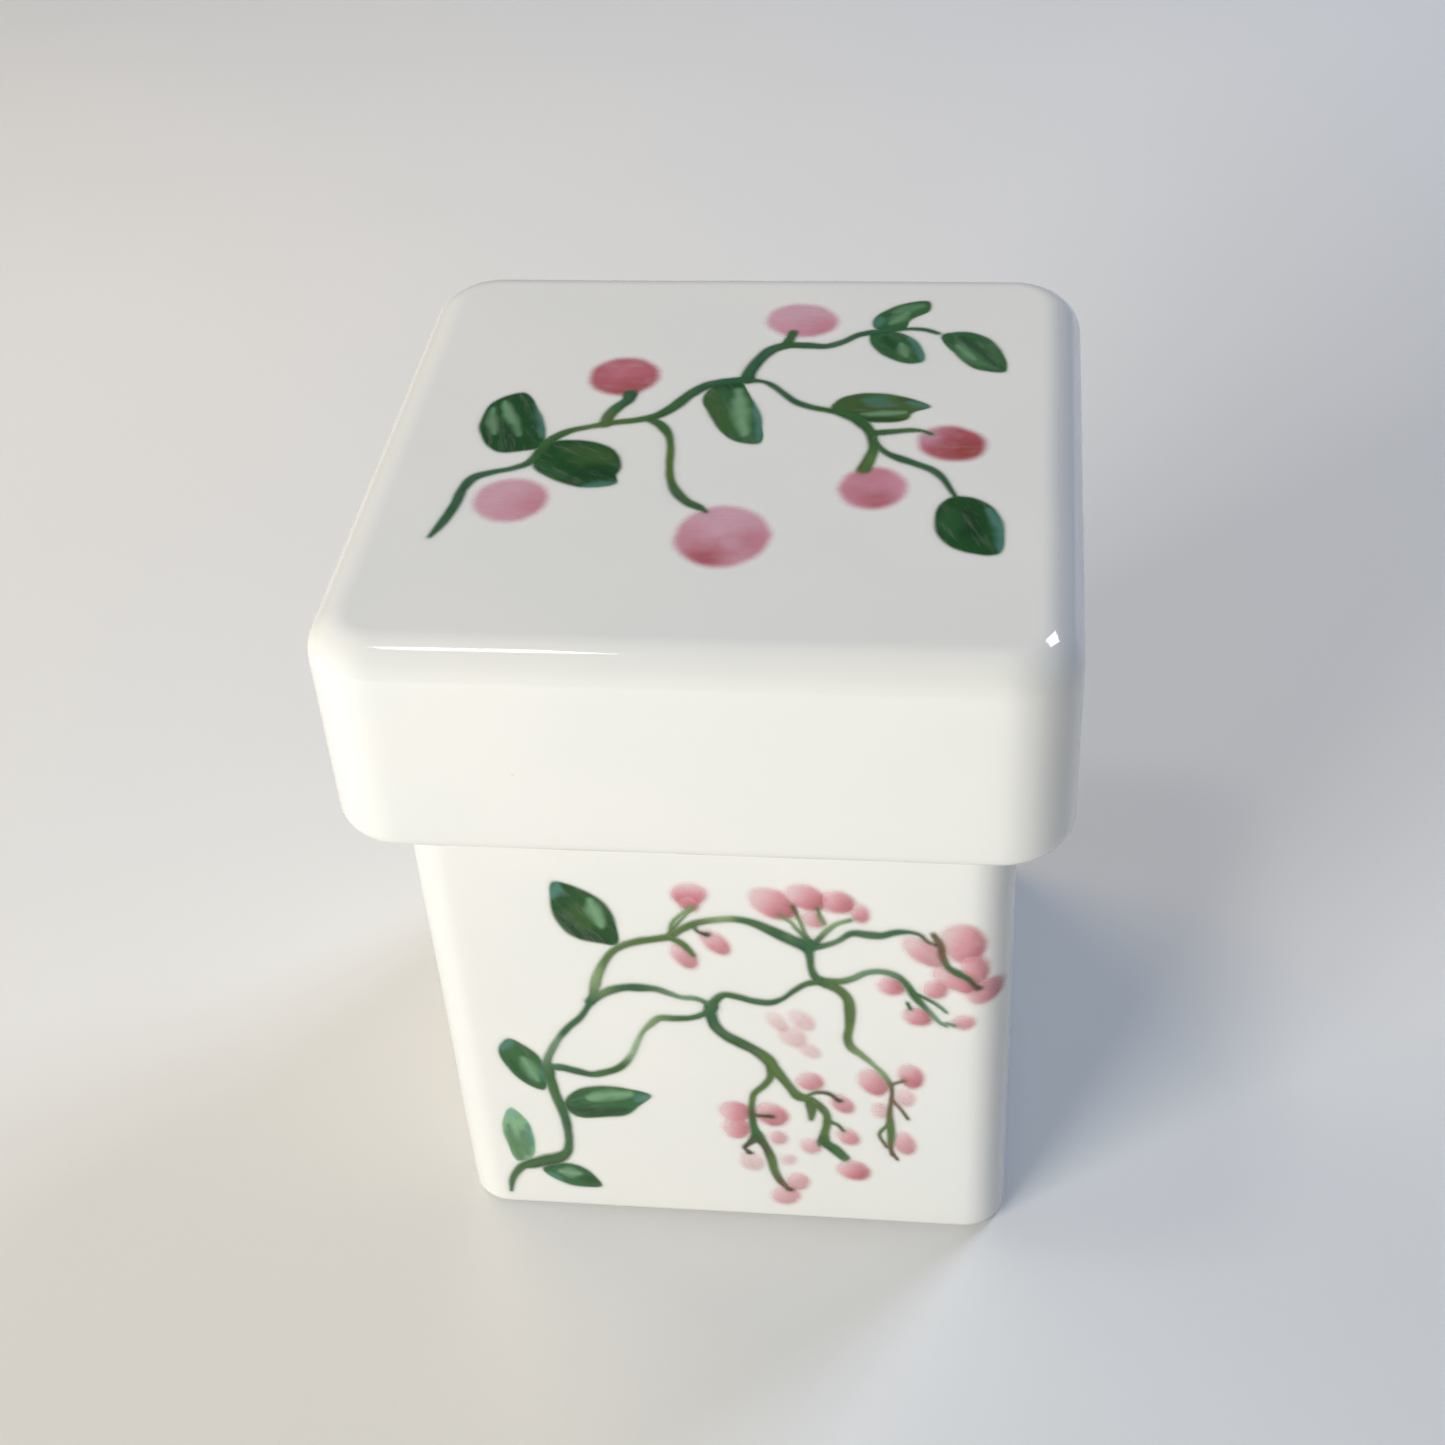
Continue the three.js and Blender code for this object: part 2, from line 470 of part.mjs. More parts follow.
const lidPainting = [
  { name: 'lid_branch', finish: STEM_GREEN, shapeOf: stemShape, strokes: LID_STEMS },
  ...series('lid_leaf', single(LID_LEAVES), LEAF_GREEN, leafShape),
  ...series('lid_berry', single(LID_BERRIES), BERRY_PINK, dabShape),
];

const frontPainting = [
  { name: 'front_branch', finish: STEM_GREEN, shapeOf: stemShape, strokes: FRONT_STEMS },
  ...series('front_leaf', single(FRONT_LEAVES), LEAF_GREEN, leafShape),
  ...series('front_blossom', FRONT_BLOSSOMS, BLOSSOM_PINK, dabShape),
];

const jar = new THREE.Group();
jar.add(namedMesh('jar_body', jarBody(), PORCELAIN));
jar.add(...paint(frontPainting, FACES.front));

const lidGroup = new THREE.Group();
lidGroup.add(namedMesh('lid', lid(), PORCELAIN));
lidGroup.add(...paint(lidPainting, FACES.lid));

const powderJar = new THREE.Group();
powderJar.add(jar, lidGroup);

export default powderJar;
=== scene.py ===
import math

import bpy
import numpy as np
from mathutils import Matrix, Vector, noise


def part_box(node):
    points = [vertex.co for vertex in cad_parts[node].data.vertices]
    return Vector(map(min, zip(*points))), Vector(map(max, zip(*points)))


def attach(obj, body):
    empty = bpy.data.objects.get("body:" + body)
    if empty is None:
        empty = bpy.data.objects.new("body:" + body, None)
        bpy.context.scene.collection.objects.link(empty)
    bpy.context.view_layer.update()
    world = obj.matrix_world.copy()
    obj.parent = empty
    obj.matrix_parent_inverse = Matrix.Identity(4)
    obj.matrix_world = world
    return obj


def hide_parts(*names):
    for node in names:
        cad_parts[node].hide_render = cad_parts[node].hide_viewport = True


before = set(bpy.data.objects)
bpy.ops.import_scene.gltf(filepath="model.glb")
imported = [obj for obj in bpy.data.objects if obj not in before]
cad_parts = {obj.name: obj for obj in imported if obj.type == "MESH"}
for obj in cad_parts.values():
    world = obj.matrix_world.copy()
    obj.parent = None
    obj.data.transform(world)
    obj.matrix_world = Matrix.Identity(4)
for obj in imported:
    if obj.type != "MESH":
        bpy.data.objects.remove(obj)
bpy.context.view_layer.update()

MM = 0.001

# ---------------------------------------------------------------- sizes of the shells
# Overall sizes come from the frame; walls and roundings repeat the model's driving dimensions.

LID_LOW, LID_HIGH = (np.array(corner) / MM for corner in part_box("lid"))
JAR_LOW, JAR_HIGH = (np.array(corner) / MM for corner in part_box("jar_body"))

LID_HALF = LID_HIGH[0]
LID_TOP = LID_HIGH[2]
SKIRT_BOTTOM = LID_LOW[2]
LID_WALL = 3.4
LID_CORNER = 7
LID_TOP_EDGE = 3.8
LID_HOLLOW_FILLET = 2

JAR_HALF = JAR_HIGH[0]
RIM_TOP = JAR_HIGH[2]
JAR_WALL = 3.2
JAR_FLOOR = 4
JAR_CORNER = 4.2
JAR_CORNER_SHRINK = 0.6
JAR_FOOT_EDGE = 1.2
JAR_CHAMBER_FILLET = 2.4
RIM_EDGE = 0.8
FOOT_RING_WIDTH = 3
FOOT_RECESS = 0.8

# Slip-cast walls are never quite flat: long soft waves and shorter, weaker ones.
WAVES = [(22, 0.06), (7, 0.012)]

# Where glaze gives way to bare body: how far off it is whole, and how far off it is gone.
FOOT_BARE = (0.35, 0.1)
RIM_BARE = (0.25, 0.05)
SEAT_BARE = (0.9, 0.3)
SKIRT_BARE = (0.3, 0.1)

CORNER_STEPS = 12
SIDE_STEPS = 36
WALL_STEP = 1.5
EDGE_STEPS = 10

# ---------------------------------------------------------------- the camera

CAMERA_PLACE = (26.7, -179.71, 197.03)
CAMERA_YAW = -9.044
CAMERA_DOWN = 39.817
CAMERA_ROLL = -4.139
CAMERA_LENS = 56.35
SENSOR_WIDTH = 36
CAMERA_CLIP = (0.01, 50)

# ---------------------------------------------------------------- enamel pigments
# Diffuse colours of the fired enamels, linear red, green, blue.

PIGMENTS = {
    "black_green": (0.008, 0.042, 0.012),
    "deep_green": (0.012, 0.068, 0.014),
    "leaf_green": (0.028, 0.110, 0.034),
    "olive_green": (0.050, 0.110, 0.026),
    "pale_green": (0.190, 0.370, 0.205),
    "grey_green": (0.230, 0.350, 0.215),
    "teal": (0.070, 0.215, 0.175),
    "pale_teal": (0.190, 0.350, 0.290),
    "stem_green": (0.033, 0.105, 0.028),
    "stem_teal": (0.028, 0.100, 0.042),
    "stem_olive": (0.074, 0.142, 0.034),
    "stem_pale_olive": (0.180, 0.275, 0.120),
    "stem_pale_teal": (0.120, 0.220, 0.130),
    "stem_brown": (0.130, 0.082, 0.040),
    "pale_pink": (0.610, 0.350, 0.430),
    "pink": (0.600, 0.270, 0.360),
    "rose": (0.520, 0.165, 0.215),
    "deep_rose": (0.420, 0.105, 0.135),
    "red_rose": (0.330, 0.062, 0.062),
    "mauve": (0.570, 0.360, 0.440),
    "petal_pale": (0.670, 0.360, 0.405),
    "petal": (0.575, 0.210, 0.255),
    "petal_deep": (0.400, 0.100, 0.122),
    "petal_dark": (0.330, 0.110, 0.110),
    "twig_tip": (0.060, 0.050, 0.030),
}

# ---------------------------------------------------------------- the painting, on the lid
# Right and up from the middle of the lid.  A stem is [right, up, width] along the middle of
# the stroke, a leaf is a closed smooth outline of [right, up], and a dab is
# [right, up, half width, half height, turn in degrees].

LID_STEMS = [
    [[-24.9, -16.2, 0.6], [-24.2, -14, 1.1], [-23.6, -11, 1.1], [-23.4, -8.5, 1.1],
     [-22.7, -6.6, 1.2], [-21.2, -5.7, 1], [-19.4, -5, 0.9], [-18, -4, 1], [-17.2, -2, 1.2],
     [-16.5, 0, 1.3], [-15, 1.6, 1], [-13, 2.5, 0.9], [-11, 3.2, 1.1], [-8.5, 3.8, 1],
     [-6.8, 4.6, 1.2], [-5.4, 6.2, 1.4], [-4, 8.6, 1.4], [-2.4, 10.3, 1.4], [0, 11.1, 1.3],
     [1.4, 11.3, 1.2]],
    [[1.2, 11.3, 1.5], [1.4, 13, 1.5], [2.2, 15.4, 1.4], [3.2, 17.1, 1.5], [4.6, 17.9, 1.3],
     [6.6, 17.9, 1.2], [8.6, 17.8, 1.1], [10.2, 18.7, 1], [11.6, 20, 1], [12.8, 20.5, 1.1],
     [14.5, 20.9, 0.9], [16.6, 21.3, 0.7], [18.2, 21.2, 0.8], [19.6, 20.5, 0.6]],
    [[1.4, 11.2, 0.8], [3, 10.9, 0.7], [4, 10.1, 0.8], [5, 8.9, 0.8], [6.4, 7.3, 0.9],
     [8, 6.4, 0.9], [9.6, 5.9, 0.9], [11.4, 5.2, 1.3], [12.8, 4, 1.4], [13.8, 2.4, 1.2],
     [14.2, 1, 1.1], [14.4, -0.6, 1.1], [14.1, -2.4, 1.3], [13.7, -4.2, 1.4]],
    [[14.6, 0.2, 0.6], [15.6, -1.3, 0.8], [17, -2.3, 1.1], [18.6, -3.2, 1], [20, -4.1, 0.9],
     [21, -5.4, 0.8], [21.7, -7, 0.7], [22.3, -8.4, 0.5]],
    [[14.3, 2, 1], [16, 2.3, 1], [17.8, 2.6, 0.8], [18.8, 2.5, 0.5], [19.7, 2, 0.4]],
    [[4.5, 18, 1.2], [4.8, 19.3, 1.1], [5, 20.4, 1]],
    [[-11.7, 3, 1.3], [-11.5, 4.6, 1.4], [-10.9, 6, 1.4], [-10.1, 7.3, 1.4], [-10, 8.4, 1.6]],
    [[-7.4, 3.9, 1], [-6.2, 2.8, 1.1], [-5.3, 1.2, 0.9], [-4.8, -1, 0.8], [-4.5, -4, 0.8],
     [-4.1, -6.4, 0.9], [-3.3, -8.4, 1.1], [-2.1, -10, 1.1], [-0.8, -10.9, 0.9],
     [-0.2, -11.5, 0.4]],
]

# How the green changes along the branches: the places, [right, up], where each pigment shows.
LID_STEM_TONES = {
    "stem_teal": [[-24.5, -14], [-22.5, -6.5], [-10, 7.5], [0, 11], [2.2, 15.5], [8.5, 17.8],
        [16.5, 21.3], [5, 9], [17, -2.3], [21.5, -7]],
    "stem_green": [[-17, -1], [-6, 5], [-2, -10], [5, 20], [11.4, 5.2], [17.5, 2.6]],
    "stem_olive": [[-11.5, 3], [-4.6, -3], [14, -3.5]],
}

# A leaf's outline, the tone it is filled with, and the touches brushed over it:
# [pigment, width, strength, path].
LID_LEAVES = [
    {"outline": [[-20.6, 8.5], [-22.4, 7.8], [-23.7, 6], [-24, 2.6], [-22.9, -0.6],
                 [-21.3, -2.2], [-18.9, -2], [-17.4, -1.4], [-17.2, 1.2], [-18.4, 5]],
     "fill": "deep_green",
     "touches": [
         ["pale_green", 0.7, 0.75, [[-22.3, 6.8], [-21.4, 4.4], [-19.8, 0.8]]],
         ["pale_green", 0.6, 0.6, [[-23.2, 5.5], [-22.9, 3.2], [-22.2, 1]]],
         ["teal", 0.8, 0.7, [[-19, 6.4], [-17.8, 3.6], [-17.3, 0.6]]],
         ["black_green", 1.2, 0.6, [[-21, 2.5], [-20.4, -1]]]]},
    {"outline": [[-17.2, -1.2], [-15.6, 0], [-12.5, -0.1], [-10.2, -1.4], [-9, -4.2],
                 [-9.3, -5.8], [-9.1, -7.2], [-12.2, -8], [-15.5, -6.5], [-17.6, -4.4]],
     "fill": "deep_green",
     "touches": [
         ["olive_green", 2.2, 0.7, [[-14, -1.6], [-10.6, -3]]],
         ["black_green", 1.8, 0.7, [[-13, -5.6], [-10, -5.6]]],
         ["leaf_green", 1.2, 0.6, [[-17, -4], [-16, -5.4], [-14.6, -6.2]]],
         ["teal", 0.7, 0.7, [[-12, -7.7], [-9.3, -7.1]]]]},
    {"outline": [[0.4, 11.2], [1.6, 9], [3.1, 5.3], [3.6, 2.8], [3.6, 0], [1.4, 0.2],
                 [-0.2, 1.6], [-1.9, 5], [-2.8, 7.6], [-1.8, 10.4]],
     "fill": "leaf_green",
     "touches": [
         ["olive_green", 1.5, 0.8, [[-1.9, 8.4], [-1.2, 5.2], [0, 2.4]]],
         ["pale_green", 1, 0.8, [[0.6, 9.2], [1.2, 5.6], [2, 1.6]]],
         ["teal", 0.6, 0.8, [[2.4, 7], [3.3, 3.6], [3.4, 0.6]]],
         ["black_green", 1, 0.7, [[-1.8, 10], [0.4, 10.4]]]]},
    {"outline": [[9.8, 6.2], [11, 8.4], [14, 9.2], [17.2, 8.4], [19.4, 6.8], [17.9, 5.7],
                 [17.2, 4.4], [14, 3.9], [11.4, 4.8]],
     "fill": "olive_green",
     "touches": [
         ["teal", 1.2, 0.55, [[13, 7.8], [15.6, 7.2]]],
         ["teal", 0.6, 0.7, [[17.2, 7.6], [19.2, 6.8]]],
         ["pale_green", 0.6, 0.7, [[13, 5.2], [17, 5.7]]],
         ["black_green", 0.7, 0.7, [[11.4, 5.4], [13.6, 4.4], [17, 4.5]]]]},
    {"outline": [[13.3, 21.2], [12.9, 23], [14.9, 25.8], [18.5, 27], [18.6, 25],
                 [16.8, 23.1], [16.2, 21.2]],
     "fill": "leaf_green",
     "touches": [
         ["pale_green", 1, 0.4, [[15, 24.6], [17.8, 26]]],
         ["pale_green", 0.8, 0.6, [[14.8, 22.4], [16.4, 24.4]]],
         ["teal", 0.8, 0.7, [[13.4, 22], [13.6, 23.4]]]]},
    {"outline": [[13, 20.9], [16, 20.5], [17.8, 18.5], [18.4, 15.2], [16.8, 14.6],
                 [14.2, 16.3], [12.8, 18.8]],
     "fill": "leaf_green",
     "touches": [
         ["black_green", 0.9, 0.65, [[14.4, 19.6], [15.6, 17.2]]],
         ["pale_green", 0.7, 0.6, [[16, 18.4], [16.6, 16]]],
         ["teal", 0.6, 0.8, [[16.8, 19.4], [18, 17.6], [18.3, 15.3]]]]},
    {"outline": [[20, 20.2], [22.6, 20.9], [24.8, 19.6], [26.3, 16.4], [26.4, 13.3],
                 [23.4, 13.9], [21.2, 16.8]],
     "fill": "leaf_green",
     "touches": [
         ["pale_green", 2, 0.3, [[22.2, 18.4], [25, 15]]],
         ["black_green", 0.9, 0.75, [[22, 19.6], [24, 17], [25.4, 14.6]]],
         ["pale_green", 0.5, 0.5, [[21.6, 18.2], [23.4, 15.6]]]]},
    {"outline": [[22.2, -8.3], [24.4, -8.7], [26.2, -10.8], [26.9, -13.6], [26.3, -17.2],
                 [23, -16.8], [20.8, -14.2], [20.6, -11.2], [21.2, -9.2]],
     "fill": "deep_green",
     "touches": [
         ["black_green", 2, 0.8, [[23.4, -11], [24, -14.4]]],
         ["leaf_green", 1.6, 0.6, [[21.8, -10.6], [22, -14]]],
         ["teal", 0.8, 0.85, [[25.4, -10.4], [26.6, -13.4], [26.5, -16.6]]]]},
]

# A berry's dab, its main tone, and the tones pressed into it: [pigment, reach, strength,
# [right, up]].
LID_BERRIES = [
    {"dab": [-18.6, -10.1, 3.4, 3.5, 0], "fill": "pale_pink",
     "tones": [["rose", 3.4, 0.6, [-15.8, -11]], ["pink", 3, 0.5, [-18.4, -13]]]},
    {"dab": [-11.1, 11.8, 3.5, 3.5, 0], "fill": "deep_rose",
     "tones": [["rose", 3.2, 0.8, [-11.4, 13.4]], ["red_rose", 2.6, 0.5, [-10.4, 9.2]]]},
    {"dab": [1.7, -15.2, 4.3, 4.7, 0], "fill": "pale_pink",
     "tones": [["rose", 3.2, 0.7, [4.6, -16]], ["deep_rose", 3.2, 1, [0.6, -18.6]],
               ["rose", 3, 0.5, [-2, -15.6]], ["pale_pink", 1.1, 0.6, [2.6, -16.4]]]},
    {"dab": [5.7, 22.9, 3.7, 3.3, -20], "fill": "pale_pink",
     "tones": [["rose", 2.8, 0.7, [7.8, 21]], ["pink", 2.8, 0.8, [4.6, 20.6]]]},
    {"dab": [21.7, 0.5, 3.4, 2.8, -30], "fill": "deep_rose",
     "tones": [["mauve", 3, 0.85, [18.4, 2.4]], ["red_rose", 3, 1, [23, -0.6]]]},
    {"dab": [14.7, -7.1, 3.1, 3.4, 0], "fill": "pink",
     "tones": [["deep_rose", 2.6, 0.8, [15.4, -9.2]], ["rose", 2, 0.6, [12.6, -7.6]],
               ["rose", 2.6, 0.5, [14.4, -5]]]},
]

# ---------------------------------------------------------------- the painting, on the front
# The same forms, right and up from the middle of the front's foot.

FRONT_STEMS = [
    [[-24.1, 2.5, 0.4], [-23.8, 4.2, 0.8], [-23.2, 5.6, 1], [-22.3, 6.8, 1.2], [-21.2, 7.3, 1.6],
     [-19.8, 7.9, 1.8], [-18.3, 8.5, 1.7], [-17.3, 9.5, 1.2], [-16.9, 11, 1], [-16.8, 13, 1],
     [-16.9, 15, 1.1], [-17.2, 17, 1.2], [-17.6, 19, 1.2], [-17.8, 21, 1.2], [-17.9, 22.5, 1.4],
     [-17.9, 23.8, 1], [-17.3, 25.4, 0.9], [-16.4, 27.2, 0.8], [-15.2, 29, 0.9],
     [-13.8, 30.6, 0.8], [-13, 32, 0.7], [-12.3, 33.5, 1], [-11.9, 35.3, 1.1], [-11.4, 37, 1.1],
     [-10.6, 38.8, 0.9], [-9.7, 40.2, 0.9], [-8.6, 41.1, 0.9], [-7, 41.8, 1], [-5.4, 42.2, 1],
     [-4, 42.6, 0.9], [-2.8, 43.6, 0.9], [-1.2, 44.6, 0.9], [0.6, 45.1, 0.9], [2.5, 45.3, 0.9],
     [4.2, 44.9, 1.1], [6, 43.9, 1.4], [7.8, 42.8, 1.5], [9.3, 42, 1.6]],
    [[9.3, 42, 1.4], [10.8, 42.2, 0.8], [12.2, 42.9, 0.7], [13.6, 44, 0.9], [15.2, 43.9, 1],
     [16.4, 43.9, 0.9], [17.8, 44.4, 0.8], [19, 44.5, 0.6], [20, 44.2, 0.5], [20.8, 43.3, 0.4],
     [21.6, 42.9, 0.4]],
    [[9.3, 42.2, 1.2], [9.5, 40.6, 0.9], [9.6, 39, 0.8], [10, 37.8, 1], [10.8, 37.1, 1.2]],
    [[10.8, 37.3, 1], [12.4, 37.4, 0.9], [13.6, 37.9, 0.8], [14.8, 38.7, 0.8], [16.2, 39, 0.8],
     [17.6, 38.6, 0.9], [18.6, 37.6, 0.8], [19.4, 36, 0.9], [20.2, 34.7, 0.8], [21.2, 33.3, 0.6],
     [22, 32.2, 0.5], [22.6, 31.8, 0.4]],
    [[19.6, 36.1, 0.4], [20.8, 35.4, 0.4], [21.8, 34.6, 0.5], [22.6, 33.7, 0.3]],
    [[-12.6, 33, 1], [-11.6, 33.9, 1.1], [-10.4, 34.7, 1.1], [-9, 35.2, 1.1], [-7.4, 35.3, 1.1],
     [-5.8, 35.2, 0.9], [-4.6, 34.7, 0.8], [-3.4, 34.2, 0.7], [-2, 34.1, 0.7], [-1, 33.6, 0.7],
     [-0.4, 33, 1]],
    [[-0.4, 33, 1.2], [0, 34, 1], [0.9, 34.8, 0.9], [2.2, 34.6, 0.9], [3.8, 34.1, 0.9],
     [5.4, 34, 0.9], [6.6, 34.6, 0.7], [7.8, 35.8, 0.7], [9, 36.8, 0.8], [10.4, 37.3, 1]],
    [[-17.6, 23, 0.9], [-16.4, 22.9, 1.1], [-15, 22.5, 1], [-13.4, 22.1, 1], [-12, 22.5, 1],
     [-10.8, 23.1, 1], [-9.8, 24.1, 0.9], [-8.9, 25.7, 0.7], [-8.3, 27.3, 0.7], [-7.6, 28.9, 0.6],
     [-6.8, 30, 0.8], [-5.8, 31, 0.9], [-4.2, 31.1, 0.9], [-2.6, 31.3, 0.8], [-1.3, 31.9, 0.8],
     [-0.5, 32.8, 1]],
    [[-0.6, 33, 1.2], [-0.5, 31.4, 1.3], [-0.2, 30.2, 1.3], [0.8, 28.9, 1.3], [2.2, 27.9, 1.4],
     [3.6, 26.9, 1.4], [4.8, 25.6, 1.5], [5.4, 24.3, 1.5], [6.2, 22.9, 1.2], [7, 21.4, 1.1],
     [7.7, 20.3, 1.3], [8.8, 19.8, 1], [9.8, 18.9, 1.1], [10.5, 17.6, 0.9], [10.5, 16, 0.9],
     [10.2, 14.4, 1], [10.3, 13.2, 1.2], [11.2, 12.2, 1.4], [12.2, 10.9, 1.2]],
    [[5.2, 24.2, 1.2], [4.9, 22.8, 0.9], [4.2, 21.6, 0.8], [3.2, 20.3, 0.8], [2.9, 18.8, 0.7],
     [2.8, 17, 0.8], [2.9, 15.2, 0.9], [3.3, 13.6, 1.3], [4, 12, 1], [4.5, 10.2, 1.1],
     [4.8, 8.2, 1], [5.3, 6.6, 0.9], [6.1, 5.3, 0.6]],
    [[3, 13.3, 1.2], [2.3, 12.4, 0.7], [1.8, 11.7, 0.6], [2.2, 11, 0.4]],
    [[3, 16.9, 0.5], [4.6, 16.9, 0.5]],
    [[8.6, 20.4, 0.5], [9.6, 21, 0.6], [10.8, 20.9, 0.6], [11.7, 20, 0.4]],
    [[8.9, 19.6, 1.2], [9, 18.2, 1.1], [8.9, 16.8, 0.6]],
    [[10.6, 16.6, 0.7], [11.6, 16.1, 0.5], [12.2, 15.2, 0.3]],
    [[10.1, 14, 1], [9.7, 13.3, 0.7], [9.7, 12.8, 0.5]],
    [[11, 37, 1.2], [12.2, 36.2, 1.1], [13, 35, 1.2], [13.2, 33.2, 1.2], [13.1, 31, 1],
     [12.9, 29.4, 1], [13.2, 28.1, 1], [14.2, 27, 0.8], [15.4, 25.6, 0.6], [16.4, 24.2, 0.7],
     [17.1, 22.6, 0.6], [17.2, 20.8, 0.5], [17, 19, 0.6], [17, 17, 0.9], [17.1, 15, 0.9],
     [17, 13, 0.6], [17.2, 11.8, 0.4]],
    [[17.2, 20.4, 0.4], [18, 19.2, 0.4], [18.8, 17.6, 0.4]],
    [[17.2, 22.8, 0.4], [18.4, 23.4, 0.5]],
    [[-3.9, 42.9, 0.5], [-3.5, 44.6, 0.4], [-2.6, 45.7, 0.4], [-1.7, 46.6, 0.4]],
    [[-3.9, 42.5, 0.8], [-2.8, 41.7, 0.8], [-1.8, 40.2, 0.5]],
    [[-1.5, 44.1, 0.5], [-1.2, 43.5, 0.4], [-0.4, 43.1, 0.4]],
    [[9.7, 42.4, 0.9], [8.9, 43.6, 0.6], [8.3, 44.4, 0.5], [7.8, 45.2, 0.4], [6.8, 46, 0.4]],
    [[9.2, 43, 0.6], [8.8, 45, 0.4], [8.4, 46.2, 0.5], [8.1, 47.3, 0.5]],
    [[10, 42.4, 0.7], [11.2, 44.2, 0.7], [12.2, 45.2, 0.6], [13.5, 45.8, 0.5]],
    [[21.3, 44.3, 0.6], [21.9, 43, 0.9], [22.2, 41.4, 0.8], [22.7, 40, 0.8], [23.8, 39.1, 0.8],
     [24.8, 38.4, 0.5]],
]

# Where the brush stopped at the end of a twig it left a dark bead: [right, up].
TWIG_TIPS = [[-0.4, 43.1], [4.7, 16.9], [11.8, 19.9], [2.2, 10.9], [25.5, 37.2], [6.3, 5.2]]
TIP_LENGTH = 0.2
TIP_WIDTH = 0.5

# Hair-fine twigs and single touches of the brush tip, too small to be pieces of their own.
FRONT_TWIGS = [
    [[18.8, 34.8, 0.3], [19.1, 34, 0.3]],
    [[17, 16.8, 0.4], [15.9, 15, 0.4], [16.6, 13, 0.3]],
    [[10.4, 47.2, 0.3], [10.6, 46.2, 0.4], [11, 45.2, 0.4]],
    [[-3.6, 43.6, 0.3], [-2.8, 44.8, 0.3], [-2.1, 45.8, 0.3], [-1.4, 46.7, 0.3]],
    [[24.6, 38.5, 0.5], [25.5, 37.3, 0.6]],
    [[22.6, 32.2, 0.3], [23.4, 31.9, 0.4]],
    [[17.2, 12, 0.4], [17.7, 11.1, 0.3]],
]

FRONT_STEM_TONES = {
    "stem_green": [[-24, 3], [-20, 7.8], [-17.5, 9], [-17.6, 20], [3.5, 45.1], [9.6, 39],
        [19.4, 36], [0.8, 34.7], [-11, 23.1], [-3, 31.2], [2.2, 28], [11.4, 12], [2.9, 15],
        [24, 39]],
    "stem_teal": [[-16.9, 14], [-15.2, 29], [-13, 32], [6.5, 43.6], [9.3, 42], [13.6, 44],
        [18, 44.4], [-8.5, 35.2], [6, 34.2], [-15, 22.5], [-0.4, 31.4]],
    "stem_pale_teal": [[-16.9, 26.2], [15, 38.8], [22, 32.5], [-3, 34.1]],
    "stem_pale_olive": [[-12, 36.5], [1.3, 45.2], [-6.8, 30], [15.4, 25.6], [-2.6, 45.7],
        [7.8, 45.2], [12.2, 45.2]],
    "stem_olive": [[-10, 40], [-6, 42], [-2, 44.2], [5.2, 25], [7.5, 20.6], [10.5, 17],
        [3, 19.5], [4.6, 9], [12.8, 35.4], [13.1, 31], [17.1, 15], [-2, 40.4]],
    "grey_green": [[-8.5, 26.5]],
    "stem_brown": [[6, 5.5], [17.2, 21], [17.2, 12], [8.3, 47], [22, 42.5]],
    "twig_tip": TWIG_TIPS,
}

